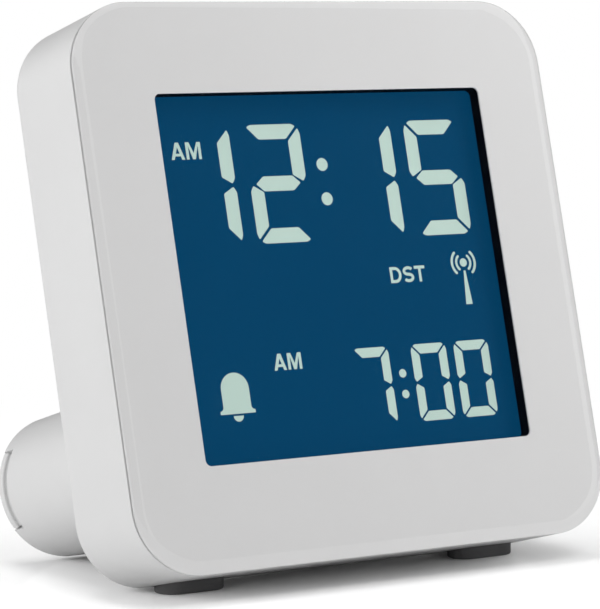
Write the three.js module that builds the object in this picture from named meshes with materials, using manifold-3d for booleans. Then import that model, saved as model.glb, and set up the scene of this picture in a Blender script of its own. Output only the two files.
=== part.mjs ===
// Radio-controlled alarm clock: a square body that leans back on a wide round-ended foot.
// Millimetres. The body is drawn in its own leaning frame and the whole of it is tilted at the end:
// X to the right, Y into the depth from the front surface, Z up the face from its bottom edge.
import * as THREE from "three";
import { mergeVertices } from "three/addons/utils/BufferGeometryUtils.js";
import Module from "manifold-3d";

const wasm = await Module();
wasm.setup();

// Driving dimensions of the body
const bodyWidth = 76;
const bodyHeight = 76;
const bodyCorner = 9.2;
const frontEdge = 1.2;
const backEdge = 2.2;
const lean = THREE.MathUtils.degToRad(15);
const wall = 2;

// Clearances
const seat = 0.3;
const film = 0.1;
const slide = 0.3;

// How far one feature of a piece is sunk into another that it is joined to
const merge = 0.2;

// Front panel and the borders that leave the display window
const panelThickness = 1.5;
const printThickness = 0.15;
const sideBorder = 11.5;
const topBorder = 12.5;
const bottomBorder = 13.9;
const windowCorner = 0.9;

// Inner frame behind the panel, with its hooks at the bottom
const bezelThickness = 1.6;
const gasketRim = 1.4;
const hookX = 12;
const hookHalfWidth = 4;
const hookThickness = 1.2;
const hookNose = 0.7;
const hookNoseLength = 1;
const hookReach = 3.6;
const catchDepth = 1;

// Display, its light and its holder
const displayRecess = 1.95;
const glassThickness = 1.1;
const glassOverlap = 1.35;
const contactLedge = 2.75;
const guideThickness = 2.3;
const lampX = 12;
const lampWidth = 3.2;
const lampHeight = 2.4;
const lampLens = 2.2;
const lensProud = 0.2;
const holderWall = 1.2;
const zebraInset = 2.5;
const zebraCorner = 0.4;

// Main board and what is soldered to it
const boardThickness = 1.2;
const boardCorner = 1.5;
const boardEdge = 1.35;
const boardTopGap = 3.2;
const boardGap = 0.7;
const chipRadius = 6;
const chipHeight = 1.7;
const chipDrop = 12.5;
const crystalRadius = 1;
const crystalLength = 6;
const crystalBevel = 0.3;
const crystalX = -14;
const crystalDrop = 15.5;
const receiverX = 14;
const receiverDrop = 13.5;
const receiverWidth = 14;
const receiverHeight = 9;
const receiverBoard = 0.8;
const receiverChip = 4.4;
const receiverChipX = -1;
const receiverChipHeight = 1.1;
const receiverCanWidth = 2.6;
const receiverCanLength = 6;
const receiverCanX = 4.5;
const receiverCanHeight = 1;

// Foot behind the body
const footHeight = 19.76;
const footWall = 1.8;
const footRim = 0.5;
const footDraft = THREE.MathUtils.degToRad(0.9);
const bayFloor = 2;
const partition = 1.4;
const endRoom = 7.5;
const notchHalfAngle = THREE.MathUtils.degToRad(34);
const notchDepth = 3.2;
const cellRibThickness = 1.2;
const cellRibPitch = 14;

// Battery cover
const coverThickness = 1.3;
const coverGap = 1.3;
const coverRibHalf = 4;
const coverEdge = 0.3;
const lipThickness = 1.65;
const landInset = 0.6;
const skirtLength = 3.7;
const skirtWall = 1.2;
const tongueGap = 0.8;

// Cells of size AAA and their contacts
const cellDiameter = 10.5;
const cellLength = 44.5;
const cellEdge = 0.6;
const nubDiameter = 3.8;
const nubHeight = 0.9;
const nubEdge = 0.3;
const nubDish = 0.2;
const baseDish = 3.5;
const contactSheet = 0.4;
const contactPlateHalf = 4.6;
const contactBump = 1;
const contactBumpRadius = 2.2;
const tailHalf = 1.2;
const tailReach = 3.2;
const tailGap = 0.65;
const springLength = 5;
const springWire = 0.5;
const springWide = 3.6;
const springNarrow = 2.4;
const springTurns = 3.5;

// Screws with their bosses and posts
const screwShank = 2;
const screwTip = 0.4;
const screwHead = 4;
const screwHeadHeight = 1.5;
const crossLength = 2.4;
const crossWidth = 0.5;
const crossDepth = 0.9;
const bossRadius = 3.7;
const bossFloor = 1.8;
const postRadius = 2.6;
const postGap = 0.5;
const postFloor = 0.4;
const housingScrewRise = 6.85;
const housingScrewDrop = 8.5;
const boardScrewX = 20;
const boardPostRadius = 2.3;
const boardPostHeight = 1.6;
const boardPostFloor = 0.5;
const earRadius = 2.4;
const earOffset = 2;

// Snooze bar on the top, its leg and its switch
const snoozeLength = 43.4;
const snoozeWidth = 8;
const snoozeProud = 0.8;
const snoozeTravel = 0.8;
const snoozeEdge = 0.8;
const snoozeFlange = 1.5;
const snoozeFlangeThickness = 1;
const snoozeShift = 0.3;
const snoozeLegWidth = 5;
const snoozeLegThickness = 2.4;
const snoozeSwitchWidth = 6;
const snoozeSwitchDepth = 4;
const snoozeSwitchInset = 0.8;
const snoozeSwitchThickness = 3.6;
const plungerWidth = 2.6;
const plungerThickness = 1.8;
const plungerProud = 0.4;

// Set buttons on the back and their switches
const buttonCount = 4;
const buttonPitch = 12;
const buttonDiameter = 6;
const buttonProud = 0.7;
const buttonEdge = 0.5;
const buttonCrown = 0.15;
const buttonTravel = 0.5;
const buttonCollar = 0.9;
const buttonCollarThickness = 1;
const stemRadius = 1.3;
const buttonSwitchWidth = 4.4;
const buttonSwitchBody = 1.4;
const buttonSwitchHeight = 2;
const buttonSwitchCap = 1.1;

// Alarm switch on the back
const knobX = -17.5;
const knobLength = 4.4;
const knobWidth = 4;
const knobCorner = 0.5;
const knobEdge = 0.3;
const knobProud = 0.8;
const knobTravel = 3;
const knobFlangeHalf = 3;
const knobFlangeReach = 1;
const knobFlangeThickness = 1.1;
const knobGroovePitch = 1.2;
const knobGrooveWidth = 0.4;
const knobGrooveDepth = 0.35;
const slotCorner = 0.6;
const leverHalf = 0.9;
const leverRise = 1;
const leverFloor = 2.25;
const switchBodyHeight = 3.45;
const switchBodyRise = 2.4;
const switchEndWall = 2;

// Sounder behind its holes
const sounderX = 16;
const sounderDiameter = 13;
const sounderHeight = 4;
const sounderEdge = 0.4;
const sounderPort = 1.2;
const sounderRing = 1;
const sounderRingHeight = 1.6;
const sounderGap = 0.9;
const soundHole = 1.5;
const soundHolePitch = 2.9;
const soundHoleCount = 6;

// Ferrite antenna in its saddles
const ferriteLength = 44;
const ferriteWidth = 7;
const ferriteThickness = 4;
const coilLength = 17;
const coilBuild = 0.6;
const antennaGap = 0.45;
const antennaDrop = 0.7;
const saddleFloor = 0.7;
const saddleInset = 6;
const saddleThickness = 3;
const saddleRim = 1.6;

// Rubber pads
const padProud = 0.3;
const padLength = 10;
const padDepth = 4.8;
const padSink = 0.9;
const bodyPadX = 24;
const bodyPadInset = 0.4;
const footPadX = 18;
const footPadInset = 1.4;

// Depths that follow from the sizes above, counted from the front surface
const shellFront = panelThickness + seat;
const bezelBack = shellFront + bezelThickness;
const glassFront = shellFront + displayRecess - film;
const glassMiddle = glassFront + glassThickness;
const rearGlassFront = glassMiddle + film;
const rearGlassBack = rearGlassFront + glassThickness;
const guideFront = rearGlassBack + seat;
const guideBack = guideFront + guideThickness;
const boardFront = guideBack + seat;
const boardBack = boardFront + boardThickness;
const solderSide = boardBack + film;
const antennaY = boardBack + antennaGap + coilBuild + ferriteThickness / 2;
const shellInnerBack = antennaY + ferriteThickness / 2 + coilBuild + saddleFloor;
const bodyDepth = shellInnerBack + wall;
const snoozeY = (bezelBack + shellInnerBack) / 2 + snoozeShift;
const bayFront = shellInnerBack + bayFloor;
const cellInnerY = bayFront + seat + cellDiameter / 2;
const cellOuterY = cellInnerY + cellDiameter + seat;
const coverInner = cellOuterY + cellDiameter / 2 + coverGap;
const skirtFront = coverInner - skirtLength;
const footRear = coverInner + coverThickness;

// Widths, counted from the middle
const halfWidth = bodyWidth / 2;
const windowHalfWidth = halfWidth - sideBorder;
const glassHalfWidth = windowHalfWidth + glassOverlap;
const holderHalfWidth = glassHalfWidth + seat + holderWall;
const housingScrewX = holderHalfWidth + postGap + postRadius;
const boardHalfWidth = housingScrewX - bossRadius - boardGap;
const bayHalf = (cellLength + contactBump + springLength + 2 * seat) / 2;
const partitionInner = bayHalf + contactSheet + seat;
const partitionOuter = partitionInner + partition;
const footRadius = footHeight / 2;
const footHalf = partitionOuter + endRoom - footRadius;
const bayRadius = footRadius - footWall;
const coverRadius = bayRadius - slide;
const skirtInner = coverRadius - skirtWall;
const snoozeHalf = (snoozeLength - snoozeWidth) / 2;

// The lowest points of the back edge and of the foot's rim stand at one level
const leanSin = Math.sin(lean);
const leanCos = Math.cos(lean);
const edgeLevel = backEdge * leanCos - (bodyDepth - backEdge) * leanSin - backEdge;
const floorLevel = edgeLevel - padProud;
const rimCentre = (edgeLevel + footRim + (footRear - footRim) * leanSin) / leanCos;
const footCentre = rimCentre + footRadius - footRim;

// Heights, counted up the face from its bottom edge
const windowBottom = bottomBorder;
const windowTop = bodyHeight - topBorder;
const glassTop = windowTop + glassOverlap;
const rearGlassBottom = windowBottom - glassOverlap;
const frontGlassBottom = rearGlassBottom - contactLedge;
const holderTop = glassTop + seat + holderWall;
const holderBottom = frontGlassBottom - seat - holderWall;
const boardBottom = wall + boardEdge;
const boardTop = bodyHeight - wall - boardTopGap;
const boardScrewHeights = [holderBottom - earOffset, holderTop + earOffset];
const housingScrewHeights = [footCentre + footRadius + housingScrewRise, bodyHeight - housingScrewDrop];
const snoozeSwitchTop = boardTop + plungerProud;
const antennaHeight = boardTop - snoozeSwitchDepth - antennaDrop - coilBuild - ferriteWidth / 2;
const sounderSpace = sounderDiameter / 2 + seat;
const upperRow = antennaHeight - ferriteWidth / 2 - saddleRim - sounderGap - sounderDiameter / 2;
const buttonRow = upperRow - sounderSpace - sounderRing - seat - buttonCollar - buttonDiameter / 2;

// Finishes
function finish(color, roughness, metalness = 0) {
  return new THREE.MeshStandardMaterial({ color, roughness, metalness });
}
const clearAcrylic = finish(0xe4e8ea, 0.08);
clearAcrylic.transparent = true;
clearAcrylic.opacity = 0.35;
const whitePrint = finish(0xdfdfdf, 0.5);
const whitePlastic = finish(0xdcdcdc, 0.42);
const blackPlastic = finish(0x0a0b0d, 0.6);
const displayBlue = finish(0x094168, 0.2);
const guidePlastic = finish(0xdfe9ee, 0.3);
const rubberGrey = finish(0x3a3a3c, 0.85);
const boardGreen = finish(0x1f5a38, 0.5);
const ferriteGrey = finish(0x2f3033, 0.7);
const copperWire = finish(0xa5572b, 0.35, 1);
const bareSteel = finish(0xb9bcc0, 0.3, 1);
const nickel = finish(0xc8c6bd, 0.28, 1);
const cellSleeve = finish(0x50555c, 0.35, 0.3);

// Outlines are lists of points in the X-Z plane, all drawn the same way round
function arcPoints(x, z, radius, from, to, steps) {
  const points = [];
  for (let step = 0; step <= steps; step += 1) {
    const angle = from + ((to - from) * step) / steps;
    points.push(new THREE.Vector2(x + radius * Math.cos(angle), z + radius * Math.sin(angle)));
  }
  return points;
}

function roundedOutline(left, right, bottom, top, radius, steps = 8) {
  const quarter = Math.PI / 2;
  return [
    ...arcPoints(right - radius, top - radius, radius, 0, quarter, steps),
    ...arcPoints(left + radius, top - radius, radius, quarter, 2 * quarter, steps),
    ...arcPoints(left + radius, bottom + radius, radius, 2 * quarter, 3 * quarter, steps),
    ...arcPoints(right - radius, bottom + radius, radius, 3 * quarter, 4 * quarter, steps),
  ];
}

function pillOutline(half, radius, x = 0, z = 0, steps = 16) {
  const quarter = Math.PI / 2;
  return [
    ...arcPoints(x + half, z, radius, -quarter, quarter, steps),
    ...arcPoints(x - half, z, radius, quarter, 3 * quarter, steps),
  ];
}

function bodyOutline(inset) {
  return roundedOutline(
    -halfWidth + inset, halfWidth - inset, inset, bodyHeight - inset, bodyCorner - inset, 10);
}

function footOutline(inset) {
  return pillOutline(footHalf, footRadius - inset, 0, footCentre);
}

// A closed skin over rings of equal point count, stacked along Y, with flat ends
function loft(rings) {
  const count = rings[0].outline.length;
  const positions = [];
  const index = [];
  for (const ring of rings) {
    for (const point of ring.outline) {
      positions.push(point.x, ring.y, point.y);
    }
  }
  for (let level = 0; level + 1 < rings.length; level += 1) {
    for (let i = 0; i < count; i += 1) {
      const a = level * count + i;
      const b = level * count + ((i + 1) % count);
      index.push(a, a + count, b, b, a + count, b + count);
    }
  }
  const last = (rings.length - 1) * count;
  for (const [a, b, c] of THREE.ShapeUtils.triangulateShape(rings[0].outline, [])) {
    index.push(a, b, c);
  }
  for (const [a, b, c] of THREE.ShapeUtils.triangulateShape(rings.at(-1).outline, [])) {
    index.push(last + a, last + c, last + b);
  }
  const geometry = new THREE.BufferGeometry();
  geometry.setAttribute("position", new THREE.Float32BufferAttribute(positions, 3));
  geometry.setIndex(index);
  return geometry;
}

// Rings of an outline whose near and far edges are rounded over the given radii
function roundedRings(outlineAt, near, far, nearRadius, farRadius, steps = 5) {
  const rings = [];
  const edges = [[near, nearRadius, 1], [far, farRadius, -1]];
  for (const [end, radius, way] of edges) {
    if (radius === 0) {
      rings.push({ y: end, outline: outlineAt(0) });
      continue;
    }
    for (let step = 0; step <= steps; step += 1) {
      const turn = ((way > 0 ? step : steps - step) / steps) * (Math.PI / 2);
      const inset = radius * (1 - Math.sin(turn));
      rings.push({ y: end + way * radius * (1 - Math.cos(turn)), outline: outlineAt(inset) });
    }
  }
  return rings;
}

function prism(outline, near, far) {
  return loft([{ y: near, outline }, { y: far, outline }]);
}

function block(left, right, near, far, bottom, top) {
  const geometry = new THREE.BoxGeometry(right - left, far - near, top - bottom);
  return geometry.translate((left + right) / 2, (near + far) / 2, (bottom + top) / 2);
}

function rod(x, z, near, far, radius, sides = 18) {
  const geometry = new THREE.CylinderGeometry(radius, radius, far - near, sides);
  return geometry.translate(x, (near + far) / 2, z);
}

// Solids for joining and cutting
function solid(geometry) {
  const bare = geometry.clone();
  bare.deleteAttribute("normal");
  bare.deleteAttribute("uv");
  const merged = mergeVertices(bare);
  return new wasm.Manifold(new wasm.Mesh({
    numProp: 3,
    vertProperties: new Float32Array(merged.attributes.position.array),
    triVerts: new Uint32Array(merged.index.array),
  }));
}

function joined(first, ...others) {
  return others.reduce((sum, geometry) => sum.add(solid(geometry)), first);
}

function cutBy(first, ...others) {
  return others.reduce((rest, geometry) => rest.subtract(solid(geometry)), first);
}

function surface(body) {
  const mesh = body.getMesh();
  const geometry = new THREE.BufferGeometry();
  geometry.setAttribute("position", new THREE.Float32BufferAttribute(mesh.vertProperties, mesh.numProp));
  geometry.setIndex(new THREE.Uint32BufferAttribute(mesh.triVerts, 1));
  geometry.computeVertexNormals();
  return geometry;
}

const clock = new THREE.Group();
const leaning = new THREE.Group();
leaning.rotation.x = -lean;
clock.add(leaning);

function place(name, geometry, material, position) {
  const mesh = new THREE.Mesh(geometry, material);
  mesh.name = name;
  if (position) {
    mesh.position.copy(position);
  }
  leaning.add(mesh);
}

// Clear panel over the whole front, and the white print on its back with the window left clear
function frontPanel() {
  return loft(roundedRings(bodyOutline, 0, panelThickness, frontEdge, 0));
}

function windowOutline(growth) {
  const half = windowHalfWidth + growth;
  return roundedOutline(
    -half, half, windowBottom - growth, windowTop + growth, windowCorner + growth, 5);
}

function frontPrint() {
  const near = panelThickness + film / 2;
  const sheet = solid(prism(bodyOutline(film), near, near + printThickness));
  return surface(cutBy(sheet, prism(windowOutline(0), near - 1, near + 1)));
}

// Places of the screws that hold the board, and of those that hold the housing
function boardScrewPlaces() {
  return boardScrewHeights.flatMap((z) => [-boardScrewX, boardScrewX].map((x) => [x, z]));
}

function housingScrewPlaces() {
  return housingScrewHeights.flatMap((z) => [-housingScrewX, housingScrewX].map((x) => [x, z]));
}

// Inner frame: a plate with the display opening, screw posts and two hooks at the bottom
function frontBezel() {
  const postBack = boardFront - seat;
  const holeRadius = (screwShank + seat) / 2;
  const shortBack = bezelBack + boardPostHeight;
  let body = solid(prism(bodyOutline(wall + slide), shellFront, bezelBack));
  for (const [x, z] of housingScrewPlaces()) {
    body = joined(body, rod(x, z, bezelBack - merge, postBack, postRadius, 14));
  }
  body = body.intersect(solid(prism(bodyOutline(wall + slide), 0, bodyDepth)));
  body = cutBy(body, prism(windowOutline(gasketRim + seat), 0, bezelBack + 1));
  for (const [x, z] of housingScrewPlaces()) {
    body = cutBy(body, rod(x, z, bezelBack + postFloor, postBack + 1, holeRadius, 12));
  }
  for (const [x, z] of boardScrewPlaces()) {
    body = joined(body, rod(x, z, bezelBack - merge, shortBack, boardPostRadius, 16));
    body = cutBy(body, rod(x, z, shellFront + boardPostFloor, shortBack + 1, holeRadius, 12));
  }
  const bottom = wall + slide;
  const back = bezelBack + hookReach;
  for (const x of [-hookX, hookX]) {
    const left = x - hookHalfWidth;
    const right = x + hookHalfWidth;
    body = joined(
      body,
      block(left, right, bezelBack - merge, back, bottom, bottom + hookThickness),
      block(left, right, back - hookNoseLength, back, bottom - hookNose - slide, bottom + merge),
    );
  }
  return surface(body);
}

// Black wall round the recessed display
function lcdGasket() {
  const back = glassFront - film;
  const ring = solid(prism(windowOutline(gasketRim), shellFront, back));
  return surface(cutBy(ring, prism(windowOutline(0), 0, back + 1)));
}

// Display: the front glass reaches down past the rear one, where the connector meets it
function frontGlass() {
  return block(-glassHalfWidth, glassHalfWidth, glassFront, glassMiddle, frontGlassBottom, glassTop);
}

function rearGlass() {
  return block(-glassHalfWidth, glassHalfWidth, rearGlassFront, rearGlassBack, rearGlassBottom, glassTop);
}

// Light guide with a notch in its top edge for each lamp
function lightGuide() {
  const plate = solid(block(
    -glassHalfWidth, glassHalfWidth, guideFront, guideBack, rearGlassBottom, glassTop));
  const half = lampWidth / 2 + seat;
  const notches = [-lampX, lampX].map((x) => block(
    x - half, x + half, guideFront - 1, guideBack + 1, glassTop - lampHeight - seat, glassTop + 1));
  return surface(cutBy(plate, ...notches));
}

function backlightLamp() {
  const half = lampWidth / 2;
  const near = guideFront + seat;
  const bottom = glassTop - lampHeight;
  const base = solid(block(-half, half, near, boardFront - film, bottom, glassTop));
  const lens = block(
    -lampLens / 2, lampLens / 2, near + seat, guideBack - seat, bottom - lensProud, bottom + merge);
  return surface(joined(base, lens));
}

// Frame round the glass and the light guide, with ears for the board screws
function lcdHolder() {
  const near = bezelBack + seat / 2;
  const back = boardFront - seat;
  const inner = glassHalfWidth + seat;
  let body = solid(block(-holderHalfWidth, holderHalfWidth, near, back, holderBottom, holderTop));
  const earNear = bezelBack + boardPostHeight + seat;
  for (const [x, z] of boardScrewPlaces()) {
    body = joined(body, rod(x, z, earNear, back, earRadius, 16));
    body = cutBy(body, rod(x, z, near - 1, earNear, boardPostRadius + seat, 16));
  }
  const bottom = frontGlassBottom - seat;
  body = cutBy(body, block(-inner, inner, near - 1, back + 1, bottom, glassTop + seat));
  for (const [x, z] of boardScrewPlaces()) {
    body = cutBy(body, rod(x, z, near - 1, back + 1, screwShank / 2 + seat, 12));
  }
  return surface(body);
}

// Elastomer connector between the board and the ledge of the front glass
function zebraStrip() {
  const half = glassHalfWidth - zebraInset;
  const outline = roundedOutline(
    -half, half, frontGlassBottom + film, rearGlassBottom - seat, zebraCorner, 3);
  return prism(outline, glassMiddle + film, boardFront - film);
}

// Board with its screw holes
function mainBoard() {
  const outline = roundedOutline(
    -boardHalfWidth, boardHalfWidth, boardBottom, boardTop, boardCorner, 4);
  let board = solid(prism(outline, boardFront, boardBack));
  for (const [x, z] of boardScrewPlaces()) {
    board = cutBy(board, rod(x, z, boardFront - 1, boardBack + 1, screwShank / 2 + seat, 12));
  }
  return surface(board);
}

// Profile that rises from a flat rim to the axis as a quarter of an ellipse
function domeProfile(radius, height, steps) {
  const profile = [];
  for (let step = 0; step < steps; step += 1) {
    const angle = (step / steps) * (Math.PI / 2);
    profile.push(new THREE.Vector2(radius * Math.cos(angle), height * Math.sin(angle)));
  }
  profile.push(new THREE.Vector2(0, height));
  return profile;
}

// Resin drop over the controller
function controllerChip() {
  const profile = [new THREE.Vector2(0, 0), ...domeProfile(chipRadius, chipHeight, 6)];
  return new THREE.LatheGeometry(profile, 20);
}

// Watch crystal in its can, lying on the board
function crystalCan() {
  const profile = [
    new THREE.Vector2(0, 0),
    new THREE.Vector2(crystalRadius, 0),
    new THREE.Vector2(crystalRadius, crystalLength - crystalBevel),
    new THREE.Vector2(crystalRadius - crystalBevel, crystalLength),
    new THREE.Vector2(0, crystalLength),
  ];
  return new THREE.LatheGeometry(profile, 12).rotateX(Math.PI / 2);
}

// Receiver for the time signal: a small board with its chip and a can
function receiverModule() {
  const onBoard = (x, width, length, height) => block(
    x - width / 2, x + width / 2, receiverBoard - merge, receiverBoard + height,
    -length / 2, length / 2);
  const board = solid(block(
    -receiverWidth / 2, receiverWidth / 2, 0, receiverBoard, -receiverHeight / 2, receiverHeight / 2));
  return surface(joined(
    board,
    onBoard(receiverChipX, receiverChip, receiverChip, receiverChipHeight),
    onBoard(receiverCanX, receiverCanWidth, receiverCanLength, receiverCanHeight),
  ));
}

// Ferrite bar and its winding
function antennaBar(half, growth) {
  const thick = ferriteThickness / 2 + growth;
  const wide = ferriteWidth / 2 + growth;
  return block(-half, half, antennaY - thick, antennaY + thick, antennaHeight - wide, antennaHeight + wide);
}

function antennaCoil() {
  const winding = solid(antennaBar(coilLength / 2, coilBuild));
  return surface(cutBy(winding, antennaBar(coilLength / 2 + 1, film)));
}

// Housing: an open tray with a rounded back edge, made in one with the tube of the foot
function shellTray() {
  const outer = solid(loft(roundedRings(bodyOutline, shellFront, bodyDepth, 0, backEdge)));
  return cutBy(outer, prism(bodyOutline(wall), shellFront - 1, shellInnerBack));
}

function footRings(near) {
  const widenAt = (y) => (footRear - y) * Math.tan(footDraft);
  const rings = roundedRings(footOutline, near, footRear, 0, footRim, 3);
  rings[0].outline = footOutline(-widenAt(near));
  return rings;
}

// A wedge seen along Y that opens sideways from the centre of the foot's round end
function notchWedge(side, halfAngle, near, far) {
  const middle = side > 0 ? 0 : Math.PI;
  const x = side * footHalf;
  const rim = arcPoints(x, footCentre, 2 * footRadius, middle - halfAngle, middle + halfAngle, 6);
  return prism([new THREE.Vector2(x, footCentre), ...rim], near, far);
}

// Pads stand upright under the leaning body; their tops lie in shallow pockets
const footBottom = footCentre - footRadius;
const bodyPadCentre = bodyDepth - backEdge - padDepth / 2 - bodyPadInset;
const footPadCentre = footRear - footRim - padDepth / 2 - footPadInset;
const bodyPadDepth = bodyPadCentre * leanCos;
const footPadDepth = footPadCentre * leanCos + footBottom * leanSin;
const padPlaces = {
  body_pad_left: { x: -bodyPadX, depth: bodyPadDepth, under: 0 },
  body_pad_right: { x: bodyPadX, depth: bodyPadDepth, under: 0 },
  foot_pad_left: { x: -footPadX, depth: footPadDepth, under: footBottom },
  foot_pad_right: { x: footPadX, depth: footPadDepth, under: footBottom },
};

function padSolid(pad, growth) {
  const outline = pillOutline((padLength - padDepth) / 2, padDepth / 2 + growth, 0, 0, 8);
  const column = prism(outline, 0, footRadius).rotateX(Math.PI / 2);
  column.translate(pad.x, pad.depth, floorLevel).rotateX(lean);
  const below = block(
    -halfWidth, halfWidth, 0, 2 * footRear, -footRear, pad.under + padSink + growth);
  return solid(column).intersect(solid(below));
}

// Battery bay: a hollow with ribs that hold the cells, and a partition behind each row of contacts
function batteryBay(shell) {
  const bay = prism(pillOutline(footHalf, bayRadius, 0, footCentre), bayFront, footRear + 1);
  const near = bayFront - merge;
  const far = skirtFront - seat;
  let body = cutBy(shell, bay);
  for (const x of [-cellRibPitch, 0, cellRibPitch]) {
    const left = x - cellRibThickness / 2;
    const right = x + cellRibThickness / 2;
    const low = cellDiameter / 2 + seat;
    const high = bayRadius + seat;
    body = joined(
      body,
      block(left, right, near, far, footCentre - high, footCentre - low),
      block(left, right, near, far, footCentre + low, footCentre + high),
    );
  }
  const tongue = Math.sqrt(skirtInner ** 2 - (partitionOuter - footHalf) ** 2) - tongueGap;
  const tongueBack = coverInner - tongueGap;
  for (const side of [-1, 1]) {
    const left = Math.min(side * partitionInner, side * partitionOuter);
    const right = Math.max(side * partitionInner, side * partitionOuter);
    body = joined(
      body,
      block(left, right, near, far, footCentre - bayRadius, footCentre + bayRadius),
      block(left, right, near, tongueBack, footCentre - tongue, footCentre + tongue),
    );
  }
  return body;
}

// Screw bosses, each with a deep counterbore from the back
function screwBosses(shell) {
  const bossBack = shellInnerBack + wall / 2;
  const inside = solid(prism(bodyOutline(wall / 2), 0, bossBack));
  let body = shell;
  for (const [x, z] of housingScrewPlaces()) {
    body = body.add(solid(rod(x, z, boardFront, bossBack, bossRadius)).intersect(inside));
    body = cutBy(
      body,
      rod(x, z, boardFront + bossFloor, bodyDepth + 1, screwHead / 2 + seat + film),
      rod(x, z, boardFront - 1, bodyDepth, screwShank / 2 + seat, 12),
    );
  }
  return body;
}

// Openings for the buttons, the switch, the sound and the snooze bar
function shellOpenings(shell) {
  const near = shellInnerBack - 1;
  const far = bodyDepth + 1;
  const buttons = buttonPlaces().map((x) => rod(x, buttonRow, near, far, buttonDiameter / 2 + slide));
  const holes = soundHolePlaces().map(([x, z]) => rod(x, z, near, far, soundHole / 2, 10));
  const ring = rod(
    sounderX, upperRow, shellInnerBack - sounderRingHeight, shellInnerBack + merge,
    sounderSpace + sounderRing, 28);
  const well = rod(sounderX, upperRow, near - sounderRingHeight, shellInnerBack, sounderSpace, 28);
  const cut = cutBy(shell, ...buttons, prism(switchSlotOutline(), near, far), snoozeSlot());
  return cutBy(joined(cut, ring), well, ...holes);
}

// Two saddles that hold the ferrite bar near its ends
function antennaSaddles(shell) {
  let body = shell;
  for (const side of [-1, 1]) {
    const x = side * (ferriteLength / 2 - saddleInset);
    const low = antennaHeight - ferriteWidth / 2;
    const high = antennaHeight + ferriteWidth / 2;
    const half = saddleThickness / 2;
    const floor = antennaY + ferriteThickness / 2 + seat;
    const rims = [low - saddleRim, high + saddleRim];
    body = joined(body, block(x - half, x + half, antennaY, shellInnerBack + merge, ...rims));
    body = cutBy(body, block(
      x - half - 1, x + half + 1, boardBack, floor, low - seat, high + seat));
  }
  return body;
}

function rearShell() {
  let body = shellTray().add(solid(loft(footRings(shellInnerBack + merge))));
  body = batteryBay(body);
  for (const side of [-1, 1]) {
    body = cutBy(body, notchWedge(side, notchHalfAngle, footRear - notchDepth, footRear + 1));
  }
  body = cutBy(body, ...contactTails().map((tail) => tail.slot));
  body = antennaSaddles(shellOpenings(screwBosses(body)));
  // Catches for the hooks of the inner frame
  const back = bezelBack + hookReach + seat;
  const half = hookHalfWidth + seat;
  for (const x of [-hookX, hookX]) {
    body = cutBy(body, block(
      x - half, x + half, back - hookNoseLength - 2 * seat, back, wall - catchDepth, wall + 1));
  }
  for (const pad of Object.values(padPlaces)) {
    body = body.subtract(padSolid(pad, seat));
  }
  return surface(body);
}

// Cover of the battery bay: a plate and skirt inside the rim, two ribs against the outer cell, and at
// each end a lip out to the skin with a lower land in front of it
function batteryCover() {
  const plateOutline = (inset) => pillOutline(footHalf, coverRadius - inset, 0, footCentre);
  const lipOutline = (inset) => footOutline(inset + film);
  const lipFront = footRear - lipThickness;
  const landFront = footRear - notchDepth + slide;
  const lipPlate = solid(loft(roundedRings(lipOutline, lipFront, footRear, 0, footRim, 3)));
  const landPlate = solid(prism(footOutline(landInset), landFront, lipFront + merge));
  const ends = cutBy(
    lipPlate.add(landPlate), prism(plateOutline(skirtWall / 2), landFront - 1, coverInner));
  let body = solid(loft(roundedRings(plateOutline, skirtFront, footRear, 0, coverEdge, 3)));
  body = cutBy(body, prism(plateOutline(skirtWall), skirtFront - 1, coverInner));
  const ribFront = coverInner - coverGap + seat;
  for (const x of [-cellRibPitch, cellRibPitch]) {
    body = joined(body, block(
      x - cellRibThickness / 2, x + cellRibThickness / 2, ribFront, coverInner + merge,
      footCentre - coverRibHalf, footCentre + coverRibHalf));
  }
  const lipGap = slide / footRadius;
  for (const side of [-1, 1]) {
    const wedge = notchWedge(side, notchHalfAngle - lipGap, landFront - 1, footRear + 1);
    body = body.add(ends.intersect(solid(wedge)));
  }
  return surface(body);
}

// Size AAA cell lying along X with its nub at the right
function cell() {
  const radius = cellDiameter / 2;
  const shoulder = cellLength - nubHeight;
  const nub = nubDiameter / 2;
  const profile = [
    [0, nubDish], [baseDish - nubDish, nubDish], [baseDish, 0], [radius - cellEdge, 0],
    [radius, cellEdge], [radius, shoulder - cellEdge], [radius - cellEdge, shoulder],
    [nub + cellEdge, shoulder - nubDish], [nub, shoulder - nubDish],
    [nub, cellLength - nubEdge], [nub - nubEdge, cellLength], [0, cellLength],
  ].map(([r, y]) => new THREE.Vector2(r, y));
  return new THREE.LatheGeometry(profile, 18).rotateZ(-Math.PI / 2);
}

// Conical spring that narrows away from its plate, wound round the X axis
class SpringLine extends THREE.Curve {
  constructor(length, wide, narrow, turns) {
    super();
    this.length = length;
    this.wide = wide;
    this.narrow = narrow;
    this.turns = turns;
  }

  getPoint(t, target = new THREE.Vector3()) {
    const radius = this.wide + (this.narrow - this.wide) * t;
    const angle = 2 * Math.PI * this.turns * t;
    return target.set(this.length * t, radius * Math.cos(angle), radius * Math.sin(angle));
  }
}

function contactSpring() {
  const wire = new THREE.Shape(arcPoints(0, 0, springWire / 2, 0, 2 * Math.PI * (5 / 6), 5));
  const line = new SpringLine(springLength - seat, springWide, springNarrow, springTurns);
  const steps = Math.round(10 * springTurns);
  return new THREE.ExtrudeGeometry(wire, { extrudePath: line, steps, bevelEnabled: false });
}

function contactBumpDome() {
  const profile = [
    new THREE.Vector2(0, -merge),
    new THREE.Vector2(contactBumpRadius, -merge),
    ...domeProfile(contactBumpRadius, contactBump, 4),
  ];
  return new THREE.LatheGeometry(profile, 16).rotateZ(-Math.PI / 2);
}

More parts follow.
